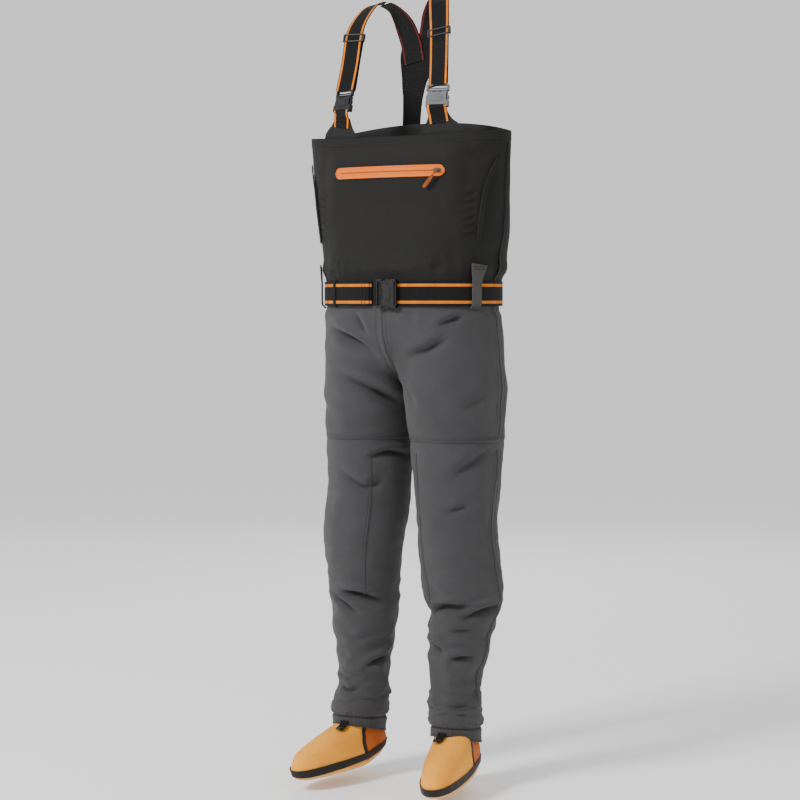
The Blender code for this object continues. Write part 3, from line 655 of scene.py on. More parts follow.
def bib():
    angles = np.linspace(0.0, 2 * math.pi, 361)
    heights = np.linspace(BIB_BOTTOM, BIB_TOP, 90)
    s = np.sin(angles)
    rise = s * s * np.where(s > 0, BIB_BACK_RISE, BIB_FRONT_DIP) + 0.003
    rows = []
    for z in heights:
        row = ring(between(TORSO, z), angles, TORSO_POWER)
        row[:, 2] += rise * ((z - BIB_BOTTOM) / (BIB_TOP - BIB_BOTTOM)) ** 3
        rows.append(row)
    grid = np.array(rows)
    normals = grid_normals(grid)
    z = heights[:, None]
    above_belt = smooth((z - BELT_TOP) / 0.020)
    push = torso_swell(angles[None, :], z) * np.ones_like(grid[..., 0])
    push += above_belt * 0.0045 * hump(z, 0.976, 0.016)
    push += above_belt * 0.0034 * cloth_noise(grid, 0.110, (1.0, 1.0, 0.45), 3.0)
    push += above_belt * 0.0012 * cloth_noise(grid, 0.032, (1.0, 1.0, 0.8), 9.0)
    near_belt = above_belt * smooth((1.030 - z) / 0.07)
    push += near_belt * 0.0028 * crumple(grid, 0.024, (1.0, 1.0, 0.16), 5.0)
    for stroke, depth, wide, peak in BIB_CREASES:
        push += above_belt * crease(grid, normals, stroke, depth, wide, peak)
    for side in SIDES.values():
        for k in range(PUCKERS):
            z_k = 1.112 - 0.015 * k
            stroke = [(0.146, -0.074, z_k - 0.003), (0.162, -0.064, z_k), (0.176, -0.052, z_k + 0.004)]
            if side < 0:
                stroke = [(-x, y, height) for x, y, height in reversed(stroke)]
            push += crease(grid, normals, stroke, 0.0026, 0.0036, 0.7, 0.5)
    # The chest pocket stands forward to its zip.
    across = np.hypot(grid[..., 0] - ZIP_CENTRE[0], grid[..., 1] - ZIP_CENTRE[1])
    turn = np.arctan2(grid[..., 0] - ZIP_CENTRE[0], ZIP_CENTRE[1] - grid[..., 1])
    sideways = np.abs(turn) * ZIP_RADIUS - ZIP_HALF_LENGTH
    height = grid[..., 2] - FLOOR
    mask = smooth(1 - sideways / 0.045) * smooth(1 - (height - ZIP_Z - 0.016) / 0.045)
    mask *= smooth(1 - (ZIP_Z - 0.016 - height) / 0.140) * (grid[..., 1] < 0)
    push += mask * (np.maximum(ZIP_RADIUS - 0.0016 - across, 0.0) - push * 0.8)
    hem = smooth((z - (BIB_TOP - 0.0165)) / 0.003)
    push = push * (1 - 0.6 * hem) + 0.0009 * hem
    push = np.where(z < BELT_TOP, np.minimum(push, torso_swell(angles[None, :], z) + 0.0002), push)
    push[:, -1] = push[:, 0]
    grid = grid + normals * push[..., None]
    piece = cloth_piece("bib_shell", grid, len(grid), "bib")
    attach(piece, "torso")
    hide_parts("chest_front_panel", "chest_back_panel")
    return piece, grid


def bib_trim(shell, grid):
    """The hem's stitching and facing, and the side seams with their tape."""
    skin = Surface(shell)
    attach(stitches("bib_hem_stitches", [skin.line(grid[-5][::2], 0.0002)], "thread_dark"), "torso")
    seams = []
    for side, column in (("left", 0), ("right", 180)):
        points, normals = skin.line(grid[12:-6, column], 0.0007)
        tape = ribbon(f"bib_side_seam_{side}", points, normals, 0.010, TAPE, "bib", 3)
        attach(tape, "torso")
        seams += [skin.line(grid[12:-6, (column + shift) % 360], 0.0009) for shift in (-3, 3)]
    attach(stitches("bib_side_stitches", seams, "thread_dark"), "torso")
    rows = np.array([grid[-1] * (1 - t) + grid[-7] * t for t in (1.0, 0.66, 0.33, 0.0)])
    rows = rows - grid_normals(rows) * (CLOTH + 0.0008)
    rows[:, -1] = rows[:, 0]
    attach(cloth_piece("bib_hem_facing", rows, len(rows), "lining", 0.0006), "torso")


# ---------------------------------------------------------------- trousers
LEG_COLUMNS = 149
HIP_CREASES = [
    ([(-0.135, -0.074, 0.868), (-0.094, -0.094, 0.850), (-0.055, -0.100, 0.834), (-0.006, -0.080, 0.812)],
     0.0090, 0.0075, 0.45),
    ([(-0.118, -0.086, 0.782), (-0.091, -0.097, 0.768), (-0.037, -0.071, 0.740), (-0.004, 0.000, 0.704)],
     0.0115, 0.0085, 0.60),
    ([(-0.066, -0.108, 0.897), (-0.045, -0.104, 0.872), (-0.026, -0.098, 0.846)], 0.0050, 0.0070, 0.5),
    ([(0.100, -0.092, 0.858), (0.128, -0.080, 0.875), (0.160, -0.050, 0.889)], 0.0060, 0.0065, 0.55),
    ([(0.030, -0.080, 0.800), (0.062, -0.092, 0.813), (0.096, -0.095, 0.823), (0.140, -0.076, 0.851)],
     0.0075, 0.0080, 0.55),
    ([(-0.006, -0.050, 0.790), (0.012, -0.055, 0.756), (0.034, -0.064, 0.728)], 0.0090, 0.0090, 0.4),
    ([(0.020, -0.075, 0.765), (0.045, -0.085, 0.735), (0.070, -0.092, 0.700)], 0.0035, 0.0090, 0.5),
    ([(0.130, -0.065, 0.700), (0.158, -0.045, 0.722), (0.183, -0.005, 0.742)], 0.0028, 0.0110, 0.5),
    ([(-0.170, -0.020, 0.720), (-0.150, -0.055, 0.700), (-0.115, -0.082, 0.690)], 0.0030, 0.0110, 0.5),
    ([(-0.045, 0.110, 0.790), (-0.095, 0.118, 0.770), (-0.150, 0.085, 0.785)], 0.0070, 0.0090, 0.4),
    ([(0.045, 0.110, 0.790), (0.095, 0.118, 0.770), (0.150, 0.085, 0.785)][::-1], 0.0070, 0.0090, 0.6),
    ([(-0.030, 0.105, 0.750), (-0.090, 0.112, 0.722), (-0.140, 0.080, 0.730)], 0.0060, 0.0085, 0.4),
    ([(0.140, 0.080, 0.730), (0.090, 0.112, 0.722), (0.030, 0.105, 0.750)], 0.0060, 0.0085, 0.6),
    ([(0.120, 0.100, 0.862), (0.070, 0.118, 0.850), (0.020, 0.122, 0.868)], 0.0040, 0.0090, 0.5),
]
LOWER_CREASES = [
    # the wearer's right leg
    ([(-0.066, -0.080, 0.603), (-0.053, -0.071, 0.609), (-0.022, -0.036, 0.620), (-0.010, 0.020, 0.606)],
     0.0085, 0.0065, 0.55),
    ([(-0.130, -0.072, 0.598), (-0.100, -0.083, 0.574), (-0.060, -0.070, 0.552), (-0.026, -0.036, 0.570)],
     0.0060, 0.0085, 0.65),
    ([(-0.140, -0.058, 0.343), (-0.100, -0.064, 0.341), (-0.071, -0.053, 0.336), (-0.044, -0.012, 0.324)],
     0.0105, 0.0065, 0.50),
    ([(-0.150, -0.050, 0.336), (-0.120, -0.062, 0.322), (-0.092, -0.058, 0.305), (-0.072, -0.045, 0.290)],
     0.0070, 0.0060, 0.40),
    ([(-0.085, -0.047, 0.186), (-0.070, -0.034, 0.201), (-0.050, 0.006, 0.219)], 0.0095, 0.0060, 0.60),
    ([(-0.120, -0.058, 0.262), (-0.085, -0.055, 0.252), (-0.060, -0.030, 0.262)], 0.0035, 0.0075, 0.50),
    ([(-0.140, -0.030, 0.185), (-0.120, -0.045, 0.172), (-0.095, -0.050, 0.168)], 0.0035, 0.0055, 0.50),
    ([(-0.135, -0.040, 0.160), (-0.105, -0.055, 0.148), (-0.075, -0.040, 0.158)], 0.0050, 0.0050, 0.50),
    # the wearer's left leg
    ([(0.122, -0.074, 0.560), (0.140, -0.066, 0.585), (0.164, -0.039, 0.612), (0.182, 0.016, 0.648)],
     0.0055, 0.0110, 0.45),
    ([(0.070, -0.040, 0.303), (0.090, -0.052, 0.322), (0.119, -0.059, 0.333), (0.163, -0.034, 0.333)],
     0.0110, 0.0065, 0.50),
    ([(0.124, -0.056, 0.300), (0.150, -0.045, 0.312), (0.168, -0.026, 0.324), (0.176, 0.032, 0.337)],
     0.0090, 0.0065, 0.50),
    ([(0.074, -0.035, 0.257), (0.090, -0.052, 0.247), (0.112, -0.054, 0.241)], 0.0075, 0.0060, 0.50),
    ([(0.108, -0.054, 0.224), (0.130, -0.048, 0.230), (0.156, -0.022, 0.236)], 0.0080, 0.0060, 0.50),
    ([(0.108, -0.057, 0.278), (0.130, -0.052, 0.284), (0.160, -0.028, 0.288)], 0.0045, 0.0070, 0.50),
    ([(0.112, -0.076, 0.511), (0.140, -0.062, 0.519), (0.160, -0.042, 0.527)], 0.0035, 0.0060, 0.50),
    ([(0.104, -0.054, 0.142), (0.128, -0.052, 0.138), (0.154, -0.023, 0.140)], 0.0045, 0.0060, 0.50),
    # behind the knees
    ([(-0.060, 0.070, 0.470), (-0.105, 0.084, 0.462), (-0.155, 0.060, 0.474)], 0.0090, 0.0075, 0.5),
    ([(-0.065, 0.070, 0.438), (-0.105, 0.082, 0.430), (-0.150, 0.058, 0.436)], 0.0075, 0.0070, 0.5),
    ([(0.155, 0.060, 0.478), (0.105, 0.084, 0.464), (0.060, 0.070, 0.474)], 0.0090, 0.0075, 0.5),
    ([(0.150, 0.058, 0.440), (0.105, 0.082, 0.433), (0.065, 0.070, 0.441)], 0.0075, 0.0070, 0.5),
    ([(0.150, 0.060, 0.300), (0.110, 0.078, 0.290), (0.070, 0.060, 0.302)], 0.0060, 0.0070, 0.5),
    ([(-0.070, 0.060, 0.300), (-0.112, 0.078, 0.288), (-0.155, 0.060, 0.300)], 0.0060, 0.0070, 0.5),
    ([(-0.065, 0.050, 0.220), (-0.105, 0.062, 0.212), (-0.145, 0.045, 0.222)], 0.0060, 0.0065, 0.5),
    ([(0.145, 0.045, 0.224), (0.105, 0.062, 0.214), (0.065, 0.050, 0.222)], 0.0060, 0.0065, 0.5),
]
LOWER_BUMPS = [
    ((0.180, 0.010, 0.352), 0.0060, 0.040), ((0.160, 0.000, 0.236), 0.0045, 0.026),
    ((0.066, -0.020, 0.360), 0.0050, 0.035), ((0.070, -0.020, 0.312), -0.0050, 0.022),
    ((-0.105, -0.084, 0.470), 0.0040, 0.060), ((0.108, -0.084, 0.470), 0.0040, 0.060),
    ((-0.048, 0.000, 0.232), 0.0055, 0.022), ((-0.052, 0.000, 0.206), -0.0035, 0.018),
    ((-0.045, -0.010, 0.295), 0.0040, 0.030), ((0.178, 0.014, 0.420), 0.0025, 0.040),
]


def leg_section(side, z):
    row = between(LEG, z)
    k = 1.0 + (FULLNESS[side] - 1.0) * float(smooth((z - 0.24) / 0.12))
    full = k + KNEE_FULLNESS[side] * float(hump(z, 0.475, 0.075))
    full += ANKLE_FULLNESS[side] * float(smooth((0.250 - z) / 0.090))
    return Section(row.z, row.x + row.wide * (k - 1.0), row.y, row.wide * full, row.front * k, row.back * k)


def upper_grid(side):
    """From the thigh seam up to the waist: closed rings below the crotch, half of the hips above it."""
    u = np.linspace(0.0, 1.0, LEG_COLUMNS)
    around = math.pi + 2 * math.pi * u
    rows = [ring(leg_section(side, z), around, LEG_POWER) for z in np.linspace(THIGH_SEAM, CROTCH, 26)]
    sewn = len(rows)
    low = rows[-1]
    top = ring(between(TORSO, WAIST), 1.5 * math.pi + math.pi * u, TORSO_POWER)
    centre_ness = np.abs(2 * u - 1) ** 4
    for t in np.linspace(1.0, 0.0, 43)[1:]:
        w = (t ** (1.35 + 2.1 * centre_ness))[:, None]
        row = top * (1 - w) + low * w
        row[:, 2] = (top[:, 2] * (1 - t) + low[:, 2] * t)
        row[0, 0] = row[-1, 0] = 0.0
        rows.append(row)
    grid = np.array(rows)
    if side == "right":
        grid[..., 0] *= -1
    return grid, sewn


def outward(grid, side):
    return grid_normals(grid) * SIDES[side]


def leg_cloth(name, grid, sewn_rows, side):
    return cloth_piece(name, grid, sewn_rows, "leg", mirrored=side == "right")


def trouser_upper(side):
    grid, sewn = upper_grid(side)
    normals = outward(grid, side)
    u = np.linspace(0.0, 1.0, LEG_COLUMNS)[None, :]
    height = grid[..., 2] - FLOOR
    edge = np.minimum(u, 1 - u)
    open_rows = np.arange(len(grid))[:, None] >= sewn - 6
    seam_fade = np.where(open_rows, smooth(edge / 0.035), 1.0)
    belt_fade = smooth((WAIST - 0.006 - height) / 0.022)
    seed = 11.0 if side == "left" else 23.0
    push = 0.0044 * cloth_noise(grid, 0.100, (1.0, 1.0, 0.7), seed)
    push += 0.0018 * cloth_noise(grid, 0.038, (1.0, 1.0, 0.8), seed + 5)
    push += 0.0020 * crumple(grid, 0.070, (1.0, 1.0, 1.4), seed + 7)
    push += 0.0018 * crumple(grid, 0.026, (1.0, 1.0, 0.2), seed + 9) * smooth((height - 0.855) / 0.035)
    for stroke, depth, wide, peak in HIP_CREASES:
        if stroke[1][0] * SIDES[side] > 0:
            push += crease(grid, normals, stroke, depth, wide, peak)
    push += bumps(grid, [((-0.182, -0.006, 0.884), -0.0095, 0.030), ((0.192, 0.000, 0.800), 0.0080, 0.085)])
    push = push * seam_fade * belt_fade * (0.12 + 0.88 * smooth((height - THIGH_SEAM) / 0.030))
    push += 0.0003 * smooth((THIGH_SEAM + 0.010 - height) / 0.004) - 0.0016 * (1 - belt_fade)
    push[:sewn, -1] = push[:sewn, 0]
    grid = grid + normals * push[..., None]
    grid[sewn:, 0, 0] = 0.0
    grid[sewn:, -1, 0] = 0.0
    grid[:sewn, -1] = grid[:sewn, 0]
    piece = leg_cloth(f"trouser_upper_{side}", grid, sewn, side)
    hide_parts(f"hip_front_{side}", f"hip_back_{side}", f"thigh_front_{side}", f"thigh_back_{side}")
    return piece, grid, sewn


def leg_rings(side, heights):
    """Rings round one leg, each from the inside of the leg, and the angles of their points."""
    around = math.pi + 2 * math.pi * np.linspace(0.0, 1.0, LEG_COLUMNS)
    grid = np.array([ring(leg_section(side, z), around, LEG_POWER) for z in heights])
    if side == "right":
        grid[..., 0] *= -1
    return grid, around


def trouser_lower(side):
    grid, _ = leg_rings(side, np.linspace(SHIN_BOTTOM, THIGH_SEAM + 0.003, 150))
    normals = outward(grid, side)
    height = grid[..., 2] - FLOOR
    seed = 31.0 if side == "left" else 47.0
    top_fade = smooth((THIGH_SEAM - height) / 0.020)
    push = 0.0042 * cloth_noise(grid, 0.095, (1.0, 1.0, 0.8), seed)
    push += 0.0016 * cloth_noise(grid, 0.036, (1.0, 1.0, 1.3), seed + 5)
    loose = 0.4 + 0.6 * smooth((0.400 - height) / 0.10)
    push += 0.0040 * loose * crumple(grid, 0.060, (1.0, 1.0, 1.9), seed + 9)
    push += 0.0022 * smooth((0.200 - height) / 0.06) * crumple(grid, 0.030, (1.0, 1.0, 2.2), seed + 2)
    for stroke, depth, wide, peak in LOWER_CREASES:
        if stroke[1][0] * SIDES[side] > 0:
            push += crease(grid, normals, stroke, depth, wide, peak)
    push += bumps(grid, LOWER_BUMPS)
    push *= top_fade
    push -= 0.0010 * smooth((height - THIGH_SEAM + 0.002) / 0.003)
    push -= 0.0030 * smooth((GUARD_TOP + 0.004 - height) / 0.010)
    push[:, -1] = push[:, 0]
    grid = grid + normals * push[..., None]
    grid[:, -1] = grid[:, 0]
    piece = leg_cloth(f"trouser_lower_{side}", grid, len(grid), side)
    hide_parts(f"knee_sleeve_{side}", f"shin_front_{side}", f"shin_back_{side}")
    return piece, grid


def bend_at_hip(piece):
    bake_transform(piece)


def bend_at_knee(piece):
    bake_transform(piece)


def bend_at_ankle(piece):
    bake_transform(piece)


def seam_tape(name, points, normals, wide, thick=TAPE):
    return ribbon(name, points, normals, wide, thick, "leg", 3)


def leg_trim(side, upper, upper_points, sewn, lower, lower_points):
    """Seam tape and twin-needle stitching on the trousers."""
    column, inner, low_row, high_row = LEG_COLUMNS // 2, 23, 60, 143
    skin = Surface(upper)
    points, normals = skin.line(upper_points[1:-2, column], TAPE_LIFT)
    bend_at_hip(seam_tape(f"thigh_side_seam_{side}", points, normals, 0.007))
    rows = [skin.line(upper_points[1:-2, column + k], STITCH_LIFT) for k in (-3, 3)]
    rows += [skin.line(upper_points[r], STITCH_LIFT) for r in (1, 2)]
    rows += [skin.line(upper_points[sewn + 4:-2, k], STITCH_LIFT) for k in (2, -3)]
    bend_at_hip(stitches(f"thigh_stitches_{side}", rows, "thread_grey"))
    skin = Surface(lower)
    points, normals = skin.line(lower_points[6:-6, column], TAPE_LIFT)
    bend_at_knee(seam_tape(f"shin_side_seam_{side}", points, normals, 0.007))
    rows = [skin.line(lower_points[6:-6, column + k], STITCH_LIFT) for k in (-3, 3)]
    rows += [skin.line(lower_points[low_row:high_row, inner + k], STITCH_LIFT) for k in (0, 2)]
    rows += [skin.line(lower_points[low_row + k, inner:column - 3], STITCH_LIFT) for k in (0, 1)]
    bend_at_knee(stitches(f"shin_stitches_{side}", rows, "thread_grey"))
    points, normals = skin.line(lower_points[low_row:high_row, inner + 1], 0.0004)
    bend_at_knee(seam_tape(f"knee_panel_seam_{side}", points, normals, 0.0045, 0.0007))


def crotch_tape(grid, sewn):
    """The taped centre seam, from the front waist under the crotch to the back waist."""
    front = [Vector(p) for p in grid[sewn - 1:-2, 0]]
    back = [Vector(p) for p in grid[sewn - 1:-2, -1]]
    path = back[::-1] + front[1:]
    points, normals = [], []
    for i, p in enumerate(path):
        along = path[min(i + 1, len(path) - 1)] - path[max(i - 1, 0)]
        normal = along.cross(Vector((1.0, 0.0, 0.0))).normalized()
        points.append(p + normal * 0.0004)
        normals.append(normal)
    if normals[-1].y > 0:
        normals = [-n for n in normals]
        points = [p + n * 0.0008 for p, n in zip(points, normals)]
    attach(seam_tape("crotch_seam", points, normals, 0.009), "torso")


def gravel_guard(side):
    """The gathered cuff over the ankle; its hem is lower behind."""
    heights = np.linspace(GUARD_BOTTOM, GUARD_TOP, 40)
    grid, around = leg_rings(side, heights)
    normals = outward(grid, side)
    z = heights[:, None]
    low = (GUARD_TOP - z) / (GUARD_TOP - GUARD_BOTTOM)
    grid[..., 2] += -GUARD_SLOPE * np.sin(around)[None, :] * low ** 2
    seed = 61.0 if side == "left" else 73.0
    gathers = 0.5 + 0.5 * np.sin(41 * around + 3.0 * cloth_noise(grid[:1], 0.02, seed=seed))
    casing = smooth((0.0915 - z) / 0.004)
    push = 0.0012 + 0.0022 * hump(z, 0.108, 0.011) - 0.0034 * hump(z, 0.0925, 0.0032)
    push = push + 0.0013 * gathers * (hump(z, 0.097, 0.008) + 0.8 * casing)
    below_top = smooth((GUARD_TOP - 0.004 - z) / 0.01)
    push += 0.0016 * cloth_noise(grid, 0.030, (1.0, 1.0, 1.6), seed + 3) * below_top
    push += 0.0028 * crumple(grid, 0.036, (1.0, 1.0, 2.2), seed + 4) * hump(z, 0.110, 0.016)
    push += 0.0010 * smooth((0.070 - z) / 0.003)
    push[:, -1] = push[:, 0]
    grid = grid + normals * push[..., None]
    grid[:, -1] = grid[:, 0]
    piece = leg_cloth(f"gravel_guard_cloth_{side}", grid, len(grid), side)
    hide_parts(f"gravel_guard_{side}")
    skin = Surface(piece)
    rows = [skin.line(grid[row], STITCH_LIFT) for row in (14, 2, -2)]
    line = stitches(f"guard_stitches_{side}", rows, "thread_black", 0.0036, 0.0026)
    bend_at_ankle(piece)
    bend_at_ankle(line)


def trousers():
    for side in SIDES:
        upper, upper_points, sewn = trouser_upper(side)
        lower, lower_points = trouser_lower(side)
        leg_trim(side, upper, upper_points, sewn, lower, lower_points)
        if side == "left":
            crotch_tape(upper_points, sewn)
        bend_at_hip(upper)
        bend_at_knee(lower)
        gravel_guard(side)


# ---------------------------------------------------------------- socks
TOE_DROP = math.radians(2.6)
HEEL_LIFT = {"left": 0.010, "right": 0.021}
ANKLE = (0.109, -0.012, 0.098)
# The sole's rings from its middle outwards: the share of the foot's outline, and the height.
SOLE_RINGS = ((0.02, 0.0), (0.3, 0.0), (0.6, 0.0), (0.86, 0.0), (0.95, 0.0006), (0.99, 0.0024), (1.0, 0.0050),
              (0.995, 0.0085))


def sock_matrix(side):
    """Sock axes (toe along -Y) to the frame: the toe droops a little and turns out."""
    sign = SIDES[side]
    place = Matrix.Translation((sign * ANKLE[0], ANKLE[1] + 0.004, ANKLE[2] + FLOOR))
    turn = Matrix.Rotation(sign * math.radians(SPLAY[side]), 4, "Z")
    droop = Matrix.Rotation(TOE_DROP, 4, "X")
    return place @ turn @ droop @ Matrix.Translation((0.0, 0.0, -ANKLE[2]))


def seam_angle(z):
    """Where the heel panel meets the vamp at height z: it leans forward over the instep."""
    heights = (0.0, 0.030, 0.060, 0.080, 0.095, 0.122)
    return math.radians(float(np.interp(z, heights, (-6.0, -7.0, -10.5, -19.0, -30.0, -35.0))))


def sock_rows(side, heights, angles):
    """Points round the sock at each height; angles is one row of angles for each height."""
    rows = []
    for z, row_angles in zip(heights, angles):
        row = ring(between(SOCK, z), np.array(row_angles), SOCK_POWER)
        row[:, 2] -= FLOOR
        row[:, 2] += HEEL_LIFT[side] * smooth((row[:, 1] + 0.045) / 0.090) * smooth((0.060 - z) / 0.060)
        rows.append(row)
    return np.array(rows)


def placed(grid, matrix):
    flat = np.concatenate([grid.reshape(-1, 3), np.ones((grid.size // 3, 1))], axis=1)
    return (flat @ np.array(matrix).T)[:, :3].reshape(grid.shape)


def sock(side):
    matrix = sock_matrix(side)
    foot = f"foot_{side}"
    heights = np.concatenate([np.linspace(0.002, 0.080, 52), np.linspace(0.083, 0.122, 12)])
    seams = [seam_angle(z) for z in heights]
    parts = {
        "vamp": ([np.linspace(math.pi - a, 2 * math.pi + a, 121) for a in seams], "sock", "neoprene_orange"),
        "heel": ([np.linspace(a, math.pi - a, 61) for a in seams], "heel", "neoprene_rust"),
    }
    made = {}
    for part, (angles, paint, slot) in parts.items():
        grid = placed(sock_rows(side, heights, angles), matrix)
        normals = grid_normals(grid)
        seed = 81.0 if side == "left" else 95.0
        push = 0.0012 * cloth_noise(grid, 0.050, seed=seed) + 0.0004 * cloth_noise(grid, 0.014, seed=seed + 4)
        columns = np.arange(grid.shape[1])
        edge = np.minimum(columns, columns[::-1])[None, :]
        push = push - 0.0008 * np.exp(-edge / 2.0)
        grid = grid + normals * push[..., None]
        piece = cloth_piece(f"sock_{part}_cloth_{side}", grid, 0, paint, NEOPRENE)
        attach(piece, foot)
        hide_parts(f"sock_{part}_{side}")
        made[part] = (piece, grid)
    skin = Surface(made["vamp"][0], made["heel"][0])
    around = np.linspace(0.5 * math.pi, 2.5 * math.pi, 140)
    loop = []
    for a in around:
        z = 0.0145 + 0.0050 * (1 + math.sin(a)) / 2 + 0.003 * math.cos(a) ** 2
        loop.append(Vector(placed(sock_rows(side, [z], [[a]]), matrix)[0, 0]))
    points, normals = skin.line(loop, 0.0009)
    points[-1], normals[-1] = points[0].copy(), normals[0].copy()
    widths = [0.0105 + 0.0060 * float(smooth((0.55 - math.sin(a)) / 1.3)) for a in around]
    tapes = [ribbon(f"sole_seam_tape_{side}", points, normals, widths, 0.0014, "tape", 7)]
    rise = np.linspace(0.016, 0.118, 40)
    fronts = [seam_angle(z) for z in rise]
    lines = {"outer": (fronts, 0.0085), "inner": ([math.pi - a for a in fronts], 0.0085),
             "back": ([0.5 * math.pi] * len(rise), 0.0060)}
    for name, (line_angles, wide) in lines.items():
        line = placed(sock_rows(side, rise, [[a] for a in line_angles]), matrix)[:, 0]
        points, normals = skin.line(line, 0.0008)
        widths = [wide + 0.0025 * float(t) for t in np.linspace(0.0, 1.0, len(rise))]
        tapes.append(ribbon(f"ankle_seam_{name}_{side}", points, normals, widths, 0.0012, "tape",
                            5))
    for tape in tapes:
        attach(tape, foot)
    angles = np.linspace(0.0, 2 * math.pi, 121)
    rows = []
    for scale, z in SOLE_RINGS:
        row = sock_rows(side, [0.0070], [angles])[0]
        row[:, 0] *= scale
        row[:, 1] = row[:, 1] * scale - 0.070 * (1 - scale)
        row[:, 2] = z + HEEL_LIFT[side] * smooth((row[:, 1] + 0.045) / 0.090)
        rows.append(row)
    grid = placed(np.array(rows), matrix)
    piece = cloth_piece(f"sock_sole_cloth_{side}", grid, len(grid), "sole", 0.0030)
    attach(piece, foot)
    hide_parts(f"sock_sole_{side}")


# ---------------------------------------------------------------- plates and buckles
def rounded(outline, corner, steps=3):
    """A flat outline with its corners rounded."""
    points = [Vector(p) for p in outline]
    out = []
    for i, p in enumerate(points):
        a, b = points[i - 1], points[(i + 1) % len(points)]
        reach = min(corner, (a - p).length * 0.45, (b - p).length * 0.45)
        one, two = p + (a - p).normalized() * reach, p + (b - p).normalized() * reach
        for k in range(steps + 1):
            t = k / steps
            out.append(one * (1 - t) ** 2 + p * 2 * t * (1 - t) + two * t * t)
    return out


def plate_into(bm, outline, low, high, place, layer):
    """An outline extruded between two depths, placed by a matrix, into a bmesh with cloth coordinates."""
    near = [bm.verts.new(place @ Vector((u, v, low))) for u, v in outline]
    far = [bm.verts.new(place @ Vector((u, v, high))) for u, v in outline]
    faces = [bm.faces.new(near[::-1]), bm.faces.new(far)]
    for i in range(len(outline)):
        j = (i + 1) % len(outline)
        faces.append(bm.faces.new((near[i], near[j], far[j], far[i])))
    flat = {v: uv for verts in (near, far) for v, uv in zip(verts, outline)}
    for face in faces:
        for loop in face.loops:
            loop[layer].uv = flat[loop.vert][:2]


def plates(name, parts, place, paint, bevel=0.0006):
    """One moulded piece made of several rounded plates: each is its outline and its two depths."""
    bm = bmesh.new()
    layer = bm.loops.layers.uv.new("cloth")
    for outline, low, high in parts:
        plate_into(bm, outline, low, high, place, layer)
    bmesh.ops.recalc_face_normals(bm, faces=bm.faces)
    mesh = mesh_from(bm, name)
    piece = finish_piece(name, mesh, paint)
    mesh.set_sharp_from_angle(angle=math.radians(50.0))
    edge = piece.modifiers.new("edge", "BEVEL")
    edge.width = bevel
    edge.segments = 3
    edge.limit_method = "ANGLE"
    edge.angle_limit = math.radians(40.0)
    edge.harden_normals = True
    return piece


def rect(wide, low, high, corner=0.0012, shift=0.0):
    half = wide / 2
    left, right = shift - half, shift + half
    return rounded([(left, low), (right, low), (right, high), (left, high)], corner)


def axes_at(origin, across, along, out):
    """A matrix with the given origin and three axes."""
    return Matrix.Translation(origin) @ Matrix((across, along, out)).transposed().to_4x4()


def centre_of(name):
    low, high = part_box(name)
    return (Vector(low) + Vector(high)) / 2


def buckle_frame(prefix):
    """Local x across the webbing, y along it towards the sliding half, z outwards; origin at the mouth."""
    along = Vector(JOINTS[f"{prefix}_release"]["axis"]).normalized()
    across = (centre_of(f"{prefix}_buckle_prong_a") - centre_of(f"{prefix}_buckle_prong_b")).normalized()
    across = (across - along * across.dot(along)).normalized()
    out = across.cross(along)
    middle = centre_of(f"{prefix}_buckle_female")
    if out.dot(Vector((0, -1, 0))) < 0:
        across, out = -across, -out
    return axes_at(middle + along * 0.015, across, along, out)


